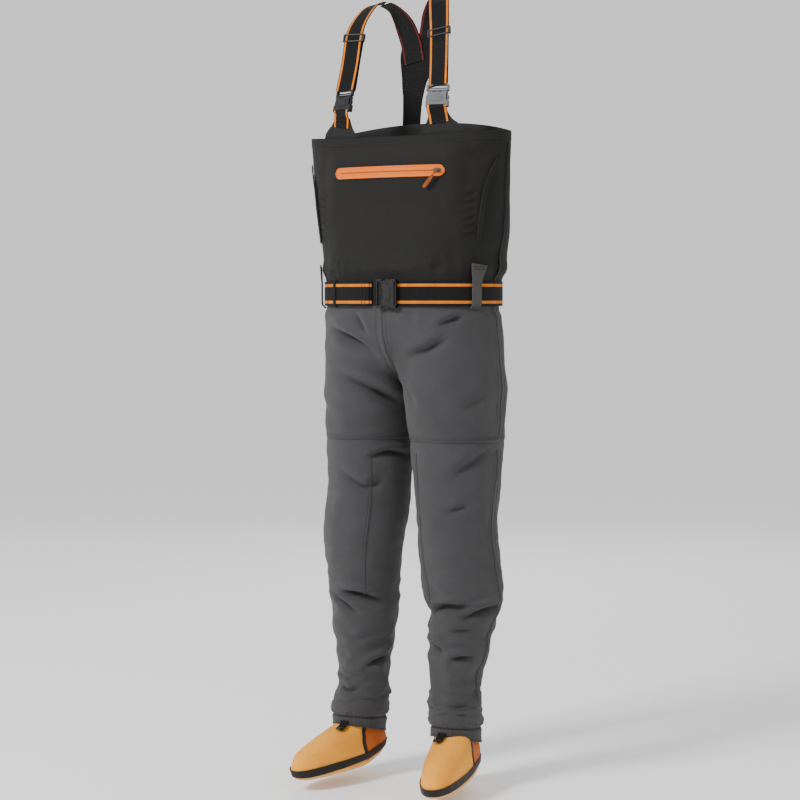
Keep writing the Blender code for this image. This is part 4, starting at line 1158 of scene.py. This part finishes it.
def buckle(prefix, wide, paint):
    """A side-release buckle: the housing, the sliding half with its bars and guide, and the prongs."""
    place = buckle_frame(prefix)
    half = wide / 2
    waist = half - 0.0042
    face = rounded([
        (-half + 0.001, -0.0265), (half - 0.001, -0.0265), (half, -0.0200), (waist, -0.0165),
        (waist, -0.0060),
        (half - 0.0025, 0.0), (half * 0.42, -0.0004), (half * 0.30, -0.0022), (-half * 0.30, -0.0022),
        (-half * 0.42, -0.0004), (-half + 0.0025, 0.0), (-waist, -0.0060), (-waist, -0.0165),
        (-half, -0.0200),
    ], 0.0022)
    foot, head = half * 0.52, half * 0.40
    rib = rounded([(-foot, -0.0190), (foot, -0.0190), (head, -0.0075), (-head, -0.0075)], 0.0020)
    cheek = 0.0048
    cheeks = [rect(cheek, -0.0300, -0.0170, shift=sign * (half - cheek / 2)) for sign in (1, -1)]
    guides = [rect(0.0030, -0.0180, -0.0010, shift=sign * half * 0.34) for sign in (1, -1)]
    female = [(face, 0.0034, 0.0054), (face, -0.0054, -0.0034), (rib, 0.0052, 0.0062)]
    female += [(outline, -0.0050, 0.0050) for outline in cheeks]
    female += [(rect(wide - 0.004, -0.0205, -0.0165), -0.0040, 0.0040)]
    female += [(rect(wide - 0.002, -0.0300, -0.0262), -0.0030, 0.0030)]
    female += [(outline, -0.0036, 0.0036) for outline in guides]
    piece = plates(f"{prefix}_buckle_housing", female, place, paint)
    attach(piece, "torso")
    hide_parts(f"{prefix}_buckle_female")
    cheek = 0.0042
    bars = [rect(wide - 0.001, low, low + 0.0026, 0.0008) for low in (0.0006, 0.0106)]
    male = [(bars[0], -0.0030, 0.0030), (bars[1], -0.0026, 0.0022)]
    male += [(rect(wide - 0.006, 0.0054, 0.0076, 0.0008), -0.0024, 0.0004)]
    cheeks = [rect(cheek, 0.0006, 0.0132, shift=sign * (half - cheek / 2)) for sign in (1, -1)]
    male += [(outline, -0.0030, 0.0030) for outline in cheeks]
    male += [(rect(half * 0.38, -0.0120, 0.0020, 0.0014), -0.0016, 0.0016)]
    piece = plates(f"{prefix}_buckle_slide", male, place, paint)
    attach(piece, f"{prefix}_buckle_male")
    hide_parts(f"{prefix}_buckle_male")
    for hand in ("a", "b"):
        node_centre = centre_of(f"{prefix}_buckle_prong_{hand}")
        sign = 1.0 if (place.inverted() @ node_centre).x > 0 else -1.0
        arm = [
            (half - 0.0062, 0.0006), (half - 0.0022, 0.0006), (half - 0.0026, -0.0055),
            (half - 0.0002, -0.0085),
            (half + 0.0000, -0.0135), (half - 0.0016, -0.0172), (half - 0.0046, -0.0178),
            (half - 0.0056, -0.0120),
        ]
        arm = rounded([(sign * x, y) for x, y in arm], 0.0012)
        parts = [(arm, -0.0026, 0.0026)]
        for y in (-0.0095, -0.0115, -0.0135):
            grip = rect(0.0012, y - 0.0006, y + 0.0006, 0.0004, sign * (half + 0.0001))
            parts.append((grip, -0.0024, 0.0024))
        piece = plates(f"{prefix}_prong_arm_{hand}", parts, place, paint, 0.0005)
        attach(piece, f"{prefix}_prong_{hand}")
        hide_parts(f"{prefix}_buckle_prong_{hand}")


# ---------------------------------------------------------------- belt
def waist_point(degrees, out, z=BELT_Z):
    angles = np.radians([degrees - 0.5, degrees, degrees + 0.5])
    near = ring(between(TORSO, z), angles, TORSO_POWER)
    tangent = Vector(near[2] - near[0])
    normal = tangent.cross(Vector((0, 0, 1))).normalized()
    swell = float(torso_swell(np.array([angles[1]]), z)[0])
    return Vector(near[1]) + normal * (out + swell), normal


def belt_band(name, start, end, count, out, node_name):
    """Belt webbing round the waist between two angles in degrees."""
    found = [waist_point(a, out) for a in np.linspace(start, end, count)]
    piece = ribbon(name, [f[0] for f in found], [f[1] for f in found], BELT_WIDE, WEBBING, "belt",
                   9)
    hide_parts(node_name)
    return piece


def belt():
    out = 0.0024
    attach(belt_band("belt_strap_main", 279.8, 560.2, 260, out, "belt_webbing_main"), "torso")
    adjust = belt_band("belt_strap_adjust", 201.0, 266.2, 70, out, "belt_webbing_adjust")
    tail = belt_band("belt_strap_tail", 222.0, 265.2, 50, out + WEBBING + 0.0006, "belt_tail")
    rows = []
    for degrees in (225.0, 262.6, 260.4):
        line = []
        for z in np.linspace(BELT_Z - BELT_WIDE / 2 + 0.002, BELT_Z + BELT_WIDE / 2 - 0.002, 14):
            point, normal = waist_point(degrees, out + WEBBING * 1.5 + 0.0008)
            line.append((Vector((point.x, point.y, z + FLOOR)), normal))
        rows.append(([p for p, _ in line], [n for _, n in line]))
    seams = stitches("belt_tail_stitches", rows, "thread_black", 0.0034, 0.0025, 0.0006)
    for piece in (adjust, tail, seams):
        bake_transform(piece)
    keeper_points, keeper_normals = [], []
    for step in range(25):
        turn = 2 * math.pi * step / 24
        z = (BELT_WIDE / 2 + 0.0014) * math.copysign(abs(math.sin(turn)) ** 0.35, math.sin(turn))
        depth = 0.0034 + 0.0046 * math.copysign(abs(math.cos(turn)) ** 0.6, math.cos(turn)) * 0.9
        point, normal = waist_point(236.0, depth)
        keeper_points.append(point + Vector((0, 0, z)))
        keeper_normals.append((normal * math.cos(turn) + Vector((0, 0, math.sin(turn)))).normalized())
    keeper = ribbon("belt_tail_keeper", keeper_points, keeper_normals, 0.0080, 0.0010, "black_webbing",
                    5)
    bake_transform(keeper)
    buckle("belt", 0.054, "buckle_black")
    for name, degrees in (("left", 337.5), ("right", 202.5), ("back", 90.0)):
        belt_loop(name, degrees)


def belt_loop(name, degrees):
    """Doubled grey webbing over the belt, bar-tacked to the bib above and below; it widens at its top."""
    profile = [(0.0070, 0.0550, 0.037), (0.0074, 0.0480, 0.034), (0.0082, 0.0370, 0.0290),
               (0.0088, 0.0275, 0.0240),
               (0.0086, 0.0200, 0.0220), (0.0088, 0.0, 0.0220), (0.0084, -0.0190, 0.0220),
               (0.0056, -0.0238, 0.0220),
               (0.0028, -0.0264, 0.0220), (0.0022, -0.0285, 0.0220)]
    _, normal = waist_point(degrees, 0.0)
    knots, widths = [], []
    for out, z, wide in profile:
        point, _ = waist_point(degrees, out, BELT_Z + max(z, 0.0))
        knots.append(Vector((point.x, point.y, BELT_Z + z + FLOOR)))
        widths.append(wide)
    count = 56
    points = curve_through(knots, count)
    heights = [-k.z for k in knots]
    widths = [float(np.interp(-p.z, heights, widths)) for p in points]
    piece = ribbon(f"belt_loop_webbing_{name}", points, [normal] * count, widths, 0.0018, "loop",
                   7)
    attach(piece, "torso")
    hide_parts(f"belt_loop_{name}")
    across = normal.cross(Vector((0, 0, 1)))
    rows = []
    for k in (3, 6, count - 5, count - 3):
        half = widths[k] * 0.42
        lift = normal * 0.0012
        ends = [points[k] + lift - across * half, points[k] + lift, points[k] + lift + across * half]
        rows.append((ends, [normal] * 3))
    tacks = stitches(f"belt_loop_tacks_{name}", rows, "thread_black", 0.0026, 0.0022, 0.0006)
    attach(tacks, "torso")


# ---------------------------------------------------------------- suspenders
STRAP_WIDE = 0.040
STRAP_FRONT = {
    "left": ((0.1030, -0.0738, 1.3228), (0.0960, -0.0590, 1.372), (0.0840, -0.0360, 1.434),
             (0.0720, -0.0160, 1.475),
             (0.0665, -0.0060, 1.4870), (0.0600, 0.0070, 1.4905)),
    "right": ((-0.1025, -0.0738, 1.3228), (-0.1005, -0.0580, 1.372), (-0.0980, -0.0430, 1.434),
              (-0.0870, -0.0230, 1.472), (-0.0760, -0.0060, 1.4885), (-0.0600, 0.0070, 1.4925)),
}
STRAP_NORMALS = ((0, -1, 0.3), (0, -1, 0.4), (0, -1, 0.6), (0, -0.6, 1), (0, -0.2, 1), (0, 0, 1))
STRAP_REAR = ((0.0590, 0.0060, 1.4894), (0.0550, 0.0120, 1.4882), (0.0455, 0.0220, 1.4790),
              (0.0310, 0.0330, 1.4520),
              (0.0200, 0.0395, 1.4185), (0.0170, 0.0412, 1.400), (0.0130, 0.0420, 1.378))
REAR_NORMALS = ((0, 0.1, 1), (0, 0.3, 1), (0, 0.8, 1), (0, 1, 0.5), (0, 1, 0.3), (0, 1, 0.1), (0, 1, 0))
STEM = ((0.000, 0.0425, 1.4080), (-0.002, 0.0420, 1.3960), (-0.008, 0.0424, 1.3800), (-0.016, 0.0450, 1.3450),
        (-0.022, 0.0490, 1.3100), (-0.036, 0.0690, 1.2640), (-0.040, 0.0745, 1.2300))
STEM_WIDE = (0.074, 0.086, 0.078, 0.056, 0.044, 0.040, 0.040)
# The tab rises from inside the bib's hem: its line on the wearer's left, and its width at each height.
TAB_LINE = ((0.1114, -0.0722, 1.194), (0.1112, -0.0720, 1.212), (0.1102, -0.0732, 1.229),
            (0.1070, -0.0765, 1.250))
TAB_WIDTHS = ((1.194, 0.092), (1.222, 0.091), (1.230, 0.086), (1.240, 0.070), (1.249, 0.054), (1.258, 0.044),
              (1.266, 0.038))
TAB_TOP = 1.266


def cross_stitch(name, place, wide, low, high, depth):
    """A box of stitching with a cross in it."""
    half = wide / 2
    corners = [(-half, low), (half, low), (half, high), (-half, high), (-half, low), (half, high),
               (-half, high),
               (half, low)]
    out = (place.to_3x3() @ Vector((0, 0, 1))).normalized()
    path = [place @ Vector((u, v, depth)) for u, v in corners]
    rows = []
    for a, b in zip(path, path[1:]):
        rows.append(([a, a.lerp(b, 0.5), b], [out] * 3))
    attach(stitches(name, rows, "thread_black", 0.0030, 0.0022, 0.0005), "torso")


def suspender(side):
    sign = SIDES[side]
    place = buckle_frame(f"strap_{side}")
    out = (place.to_3x3() @ Vector((0, 0, 1))).normalized()
    lean = (place.to_3x3() @ Vector((0, 1, 0))).normalized()
    across = Vector((1.0, sign * 0.205, 0.0)).normalized()
    bar = place @ Vector((0.0, -0.0282, 0.0))
    line = curve_through(floor_points([(sign * x, y, z) for x, y, z in TAB_LINE]) + [bar - out * 0.0006], 80)
    line = [p for p in line if p.z - FLOOR < TAB_TOP]
    normals = [across.cross(line[min(i + 1, len(line) - 1)] - line[max(i - 1, 0)]).normalized()
               for i in range(len(line))]
    widths = [float(np.interp(p.z - FLOOR, *zip(*TAB_WIDTHS))) for p in line]
    tab = ribbon(f"strap_tabs_{side}", line, normals, widths, 0.0022, "tab", 13)
    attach(tab, "torso")
    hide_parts(f"strap_tab_{side}")
    rows = []
    for hand in (1, -1):
        for inset in (0.0024, 0.0052):
            row = [p + across * hand * (w / 2 - inset) + n * 0.0013 for p, n, w in zip(line, normals, widths)]
            rows.append((row[24:-8], normals[24:-8]))
    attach(stitches(f"strap_tab_stitches_{side}", rows, "thread_dark"), "torso")
    # The short striped webbing from the tab round the housing's bar.
    middle = next(i for i, p in enumerate(line) if p.z - FLOOR > 1.2465)
    foot, face = line[middle], normals[middle]
    knots = [foot + face * 0.0022, line[-1] + normals[-1] * 0.0024, bar + out * 0.0036 - lean * 0.004,
             bar + out * 0.0042, bar + lean * 0.0034 + out * 0.0006]
    points = curve_through(knots, 26)
    piece = ribbon(f"strap_anchor_{side}", points, [face] * 14 + [out] * 9 + [(out + lean).normalized()] * 3,
                   0.0385, 0.0018, "strap", 9)
    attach(piece, "torso")
    stitched = axes_at(foot, across, face.cross(across), face)
    cross_stitch(f"strap_anchor_stitches_{side}", stitched, 0.026, 0.0020, 0.0120, 0.0034)

    knots = floor_points(STRAP_FRONT[side])
    bar = place @ Vector((0.0, 0.0120, 0.0))
    along = (knots[1] - knots[0]).normalized()
    knots[0] = bar + along * 0.0100 + out * 0.0026
    knots = [bar + out * 0.0032 - along * 0.0010, knots[0]] + knots[1:]
    normals = [Vector(n) for n in (STRAP_NORMALS[0],) + STRAP_NORMALS]
    count = 90
    points = curve_through(knots, count)
    strap = ribbon(f"strap_webbing_{side}", points, blend_vectors(normals, count), STRAP_WIDE, WEBBING,
                   "strap",
                   9)
    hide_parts(f"strap_front_{side}")
    back_knots = [bar - out * 0.0026, bar - out * 0.0032 + along * 0.010, knots[2] - out * 0.0036,
                  knots[2].lerp(knots[3], 0.75) - out * 0.0040]
    back = ribbon(f"strap_fold_{side}", curve_through(back_knots, 50), [normals[1]] * 50, STRAP_WIDE - 0.001,
                  0.0016, "black_webbing", 5)
    for piece in (strap, back):
        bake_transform(piece)
    # The left arm lies over the right one where they meet.
    layer = 0.0006 if side == "left" else -0.0012
    rear = [Vector((sign * p.x, p.y + layer, p.z)) for p in floor_points(STRAP_REAR)]
    widths = [STRAP_WIDE + 0.007 * float(smooth(k / 25)) for k in range(60)]
    piece = ribbon(f"yoke_arm_{side}", curve_through(rear, 60), blend_vectors(REAR_NORMALS, 60), widths,
                   WEBBING,
                   "yoke_edged", 9)
    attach(piece, "torso")
    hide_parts(f"strap_rear_{side}")
    step = (knots[-1] - knots[-2]).normalized()
    across = step.cross(Vector((0, 0, 1))).normalized()
    shoulder = axes_at(knots[-1], across, step, Vector((0, 0, 1)))
    cross_stitch(f"strap_join_stitches_{side}", shoulder, 0.030, -0.010, -0.001, 0.0016)


def yoke():
    count = 70
    points = curve_through(floor_points(STEM), count)
    heights = [-p[2] for p in STEM]
    widths = [float(np.interp(-(p.z - FLOOR), heights, STEM_WIDE)) for p in points]
    stem = ribbon("yoke_stem_webbing", points, [(0, 1, 0)] * count, widths, WEBBING, "yoke",
                  11)
    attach(stem, "torso")
    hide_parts("yoke_stem")
    rows = []
    for k in (4, 6):
        p = points[k]
        rows.append(([p + Vector((x, 0.0016, 0.0)) for x in (-0.028, 0.0, 0.028)], [(0, 1, 0)] * 3))
        rows.append(([p + Vector((x, -0.0030, 0.0)) for x in (-0.028, 0.0, 0.028)], [(0, -1, 0)] * 3))
    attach(stitches("yoke_stitches", rows, "thread_dark"), "torso")


def adjuster(side):
    """A three-bar slide: a rounded frame and its middle bar, on the strap's straight stretch."""
    a, b = floor_points(STRAP_FRONT[side][1:3])
    along = (b - a).normalized()
    across = Vector((0, -1, 0.5)).cross(along).normalized()
    out = along.cross(across).normalized()
    place = axes_at(a.lerp(b, 0.80), across, along, out)
    bar = 0.0030
    parts = [(rect(0.0470, low, low + bar, 0.0010), 0.0012, 0.0036) for low in (-0.0080, 0.0050)]
    parts += [(rect(0.0029, -0.0080, 0.0080, 0.0010, sign * 0.02205), -0.0033, 0.0036) for sign in (1, -1)]
    parts += [(rect(0.0430, -0.0018, 0.0018, 0.0008), -0.0033, -0.0016)]
    piece = plates(f"strap_slide_{side}", parts, place, "buckle_black")
    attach(piece, f"strap_adjuster_{side}")
    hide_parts(f"strap_adjuster_{side}")


# ---------------------------------------------------------------- pockets
def on_zip(s, v, r):
    """A point on the zip's cylinder: s metres along it, v above its middle, r out from its axis."""
    turn = s / ZIP_RADIUS
    return Vector((ZIP_CENTRE[0] + r * math.sin(turn), ZIP_CENTRE[1] - r * math.cos(turn), ZIP_Z + v + FLOOR))


def zip_outward(s):
    return Vector((math.sin(s / ZIP_RADIUS), -math.cos(s / ZIP_RADIUS), 0))


def zip_garage():
    """The laminated band with rounded ends, a raised rim and a slot for the coil."""
    columns = np.linspace(-1.0, 1.0, 161)
    across = np.linspace(-1.0, 1.0, 17)
    grid = []
    for v in across:
        row = []
        for c in columns:
            s = ZIP_HALF_LENGTH * math.sin(c * math.pi / 2)
            beyond = max(0.0, abs(s) - (ZIP_HALF_LENGTH - ZIP_HALF_TALL))
            tall = math.sqrt(max(ZIP_HALF_TALL ** 2 - beyond ** 2, 1e-8))
            rim = hump(abs(v), 0.90, 0.16) * 0.0010
            lips = hump(abs(v), 0.22, 0.12) * 0.0008
            slot = -0.0016 * hump(v, 0.0, 0.10) * float(smooth((ZIP_HALF_LENGTH - 0.008 - abs(s)) / 0.004))
            row.append(on_zip(s, v * tall, ZIP_RADIUS + rim + lips + slot))
        grid.append([list(p) for p in row])
    grid = np.array(grid)
    band = cloth_piece("zip_garage", grid, 0, "zip", 0.0014)
    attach(band, "torso")
    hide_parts("chest_zip_band")


def zip_teeth():
    """The coil's teeth, staggered on its two sides, and the stitching round the garage."""
    bm = bmesh.new()
    bm.loops.layers.uv.new("cloth")
    pitch = 0.0022
    for k in range(int((2 * ZIP_HALF_LENGTH - 0.024) / pitch)):
        s = -ZIP_HALF_LENGTH + 0.012 + k * pitch
        r = ZIP_RADIUS - 0.0004
        for sign in (1, -1):
            centre = on_zip(s + (0.0011 if sign < 0 else 0.0), sign * 0.0009, r)
            turn = Matrix.Rotation(s / ZIP_RADIUS, 4, "Z")
            shape = Matrix.Translation(centre) @ turn @ Matrix.Diagonal((0.00055, 0.0006, 0.0013, 1.0))
            bmesh.ops.create_icosphere(bm, subdivisions=1, radius=1.0, matrix=shape)
    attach(finish_piece("zip_coil_teeth", mesh_from(bm, "zip_coil_teeth"), "coil"), "torso")
    rows = []
    for v in (ZIP_HALF_TALL + 0.0022, -ZIP_HALF_TALL - 0.0022):
        spots = np.linspace(-ZIP_HALF_LENGTH, ZIP_HALF_LENGTH, 40)
        rows.append(([on_zip(s, v, ZIP_RADIUS - 0.0012) for s in spots], [zip_outward(s) for s in spots]))
    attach(stitches("zip_stitches", rows, "thread_dark"), "torso")


def zip_slider():
    s = SLIDER_AT
    along = Vector((math.cos(s / ZIP_RADIUS), math.sin(s / ZIP_RADIUS), 0))
    place = axes_at(on_zip(s, 0.0, ZIP_RADIUS), along, Vector((0, 0, 1)), zip_outward(s))
    body = rounded([(-0.0075, -0.0034), (-0.0030, -0.0046), (0.0060, -0.0040), (0.0072, 0.0),
                    (0.0060, 0.0040),
                    (-0.0030, 0.0046), (-0.0075, 0.0034)], 0.0016)
    parts = [(body, 0.0012, 0.0028), (rect(0.0080, -0.0010, 0.0010, 0.0006), 0.0026, 0.0046)]
    slider = plates("zip_slider_body", parts, place, "slider", 0.0004)
    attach(slider, "zip_slider")
    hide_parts("zip_slider")


def zip_puller():
    """The moulded grip and the two legs of its cord, hung from the slider's eye."""
    out = zip_outward(SLIDER_AT)
    low, high = (Vector(c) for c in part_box("zip_puller"))
    eye = Vector((high.x - 0.002, (low.y + high.y) / 2, high.z - 0.003))
    tip = Vector((low.x + 0.003, (low.y + high.y) / 2 - 0.0005, low.z + 0.002))
    lean = (tip - eye).normalized()
    side_way = lean.cross(out).normalized()
    face = side_way.cross(lean).normalized()
    if face.dot(out) < 0:
        side_way, face = -side_way, -face
    place = axes_at(eye, side_way, lean, face)
    long = (tip - eye).length
    grip = rounded([(-0.0022, 0.30 * long), (0.0022, 0.30 * long), (0.0034, 0.55 * long),
                    (0.0036, 0.90 * long),
                    (0.0020, long), (-0.0020, long), (-0.0036, 0.90 * long), (-0.0034, 0.55 * long)], 0.0016)
    parts = [(grip, -0.0013, 0.0013)]
    parts += [(rect(0.0060, t * long - 0.0004, t * long + 0.0004, 0.0003), -0.0017, 0.0017)
              for t in (0.55, 0.64, 0.73, 0.82)]
    for sign in (1, -1):
        parts.append((rect(0.0011, -0.0012, 0.34 * long, 0.0005, sign * 0.0013), -0.0006, 0.0006))
    parts.append((rect(0.0037, -0.0022, -0.0008, 0.0006), -0.0006, 0.0006))
    puller = plates("zip_puller_grip", parts, place, "puller", 0.0004)
    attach(puller, "zip_puller")
    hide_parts("zip_puller")


def pocket_bag():
    """The chest pocket's bag, hanging inside the bib."""
    rows = []
    for v in np.linspace(-0.150, 0.004, 40):
        row = []
        for s in np.linspace(-0.102, 0.102, 70):
            ripple = 0.0012 * math.sin(46 * s + 9 * v) * float(smooth(-v / 0.05))
            row.append(list(on_zip(s * (1 - 0.04 * float(smooth(-v / 0.15))), v,
                                   ZIP_RADIUS - 0.0135 + ripple)))
        rows.append(row)
    bag = cloth_piece("pocket_bag_cloth", np.array(rows), 0, "lining", 0.0008)
    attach(bag, "torso")
    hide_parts("chest_pocket_bag")


POCKET_LINE = ((1.026, 333.5), (1.045, 332.5), (1.070, 332.0), (1.095, 332.5), (1.118, 333.5), (1.138, 335.6),
               (1.158, 339.4), (1.180, 345.0))


def pocket_welt(side, skin):
    """The curved lip of a hand-warmer pocket: a folded welt and its two rows of stitching."""
    points = []
    for z, degrees in POCKET_LINE:
        (p,) = ring(between(TORSO, z), np.radians([degrees]), TORSO_POWER)
        points.append(Vector((p[0] * SIDES[side], p[1], p[2])))
    path, normals = skin.path(points, 70, 0.0022)
    welt = ribbon(f"pocket_welt_fold_{side}", path, normals, 0.0120, 0.0020, "bib", 7)
    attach(welt, "torso")
    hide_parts(f"pocket_welt_{side}")
    rows = []
    for shift, on_welt in ((-0.0042, True), (0.0085, False)):
        line = []
        for i, (p, n) in enumerate(zip(path, normals)):
            along = path[min(i + 1, len(path) - 1)] - path[max(i - 1, 0)]
            line.append(p + along.cross(n).normalized() * shift * SIDES[side])
        if on_welt:
            line = [p + n * 0.0012 for p, n in zip(line, normals)]
        else:
            line, _ = skin.line(line, STITCH_LIFT)
        rows.append((line, normals))
    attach(stitches(f"pocket_stitches_{side}", rows, "thread_dark"), "torso")


# ---------------------------------------------------------------- lace hooks
def lace_hook(side):
    """A webbing tab and the small metal hook that clips on a boot's lace."""
    low, high = (Vector(c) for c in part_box(f"lace_hook_{side}"))
    x = (low.x + high.x) / 2
    top = Vector((x, high.y - 0.001, high.z - 0.001))
    tip = Vector((x, low.y + 0.002, low.z + 0.002))
    middle = Vector((x, high.y - 0.009, high.z - 0.0095))
    points = curve_through([top, middle, tip], 16)
    normals = [(0, -1, 0.9)] * 16
    widths = [0.0175] * 13 + [0.0165, 0.0150, 0.0120]
    tab = ribbon(f"lace_tab_{side}", points, normals, widths, 0.0018, "black_webbing", 5)
    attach(tab, f"lace_hook_{side}")
    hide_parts(f"lace_hook_{side}")
    along = (tip - middle).normalized()
    across = Vector((1, 0, 0))
    out = across.cross(along).normalized()
    if out.z < 0:
        out = -out
    place = axes_at(tip - along * 0.006, across, along, out)
    parts = [(rect(0.0150, -0.0012, 0.0008, 0.0006), 0.0008, 0.0022),
             (rect(0.0030, -0.0012, 0.0075, 0.0008), 0.0012, 0.0024),
             (rect(0.0085, 0.0060, 0.0080, 0.0008), 0.0010, 0.0026)]
    hook = plates(f"lace_hook_clip_{side}", parts, place, "slider", 0.0004)
    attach(hook, f"lace_hook_{side}")


# ---------------------------------------------------------------- stage, light and camera
def stage():
    """A pale round floor, a little below the soles because the waders hang."""
    size, drop = 14.0, 0.030
    bm = bmesh.new()
    bmesh.ops.create_circle(bm, cap_ends=True, segments=96, radius=size)
    bmesh.ops.translate(bm, verts=bm.verts, vec=(0, 0, FLOOR - drop))
    mesh = mesh_from(bm, "studio_floor")
    floor = bpy.data.objects.new("studio_floor", mesh)
    bpy.context.scene.collection.objects.link(floor)
    paint = Paint("studio_floor")
    paint.set(Base_Color=(0.96, 0.96, 0.96), Roughness=0.9, Specular_IOR_Level=0.1)
    mesh.materials.append(paint.material)


def area_light(name, place, target, size, power, colour=(1.0, 1.0, 1.0)):
    data = bpy.data.lights.new(name, "AREA")
    data.shape = "RECTANGLE"
    data.size, data.size_y = size
    data.energy = power
    data.color = colour
    lamp = bpy.data.objects.new(name, data)
    bpy.context.scene.collection.objects.link(lamp)
    lamp.location = place
    lamp.rotation_euler = (Vector(target) - Vector(place)).to_track_quat("-Z", "Y").to_euler()


CAMERA_AZIMUTH, CAMERA_DISTANCE, CAMERA_HEIGHT = math.radians(30.0), 3.82, 0.915
FOCAL = 2.45 * 36.0
AIM_DROP, AIM_SIDE = 0.0510, 0.0195


def camera():
    data = bpy.data.cameras.new("camera")
    data.sensor_width = 36.0
    data.lens = FOCAL
    data.clip_end = 60.0
    made = bpy.data.objects.new("camera", data)
    bpy.context.scene.collection.objects.link(made)
    back = Vector((math.sin(CAMERA_AZIMUTH), -math.cos(CAMERA_AZIMUTH), 0.0))
    right = Vector((math.cos(CAMERA_AZIMUTH), math.sin(CAMERA_AZIMUTH), 0.0))
    made.location = back * CAMERA_DISTANCE - right * AIM_SIDE + Vector((0.0, 0.0, CAMERA_HEIGHT + FLOOR))
    made.rotation_euler = Euler((math.pi / 2 - math.atan(AIM_DROP), 0.0, CAMERA_AZIMUTH))
    bpy.context.scene.camera = made


def light():
    middle = (0.0, 0.0, FLOOR + 0.80)
    area_light("key", (-1.3, -3.4, FLOOR + 3.1), middle, (0.9, 0.9), 190.0)
    area_light("fill", (3.4, -1.4, FLOOR + 1.6), middle, (1.6, 2.2), 10.0)
    area_light("rim", (-1.4, 3.2, FLOOR + 2.4), middle, (2.0, 2.4), 30.0)
    world = bpy.data.worlds.new("studio")
    world.use_nodes = True
    ground = world.node_tree.nodes["Background"]
    ground.inputs["Color"].default_value = (1.0, 1.0, 1.0, 1.0)
    ground.inputs["Strength"].default_value = 0.95
    bpy.context.scene.world = world


camera()
stage()
light()
shell, shell_points = bib()
bib_trim(shell, shell_points)
trousers()
for side in SIDES:
    sock(side)
    lace_hook(side)
    suspender(side)
    adjuster(side)
    pocket_welt(side, Surface(shell))
yoke()
belt()
# The left buckle's pale grey is painted light on the same black plastic as the right one.
buckle("strap_left", 0.044, "buckle_painted_lit")
buckle("strap_right", 0.044, "buckle_black")
zip_garage()
zip_teeth()
zip_slider()
zip_puller()
pocket_bag()
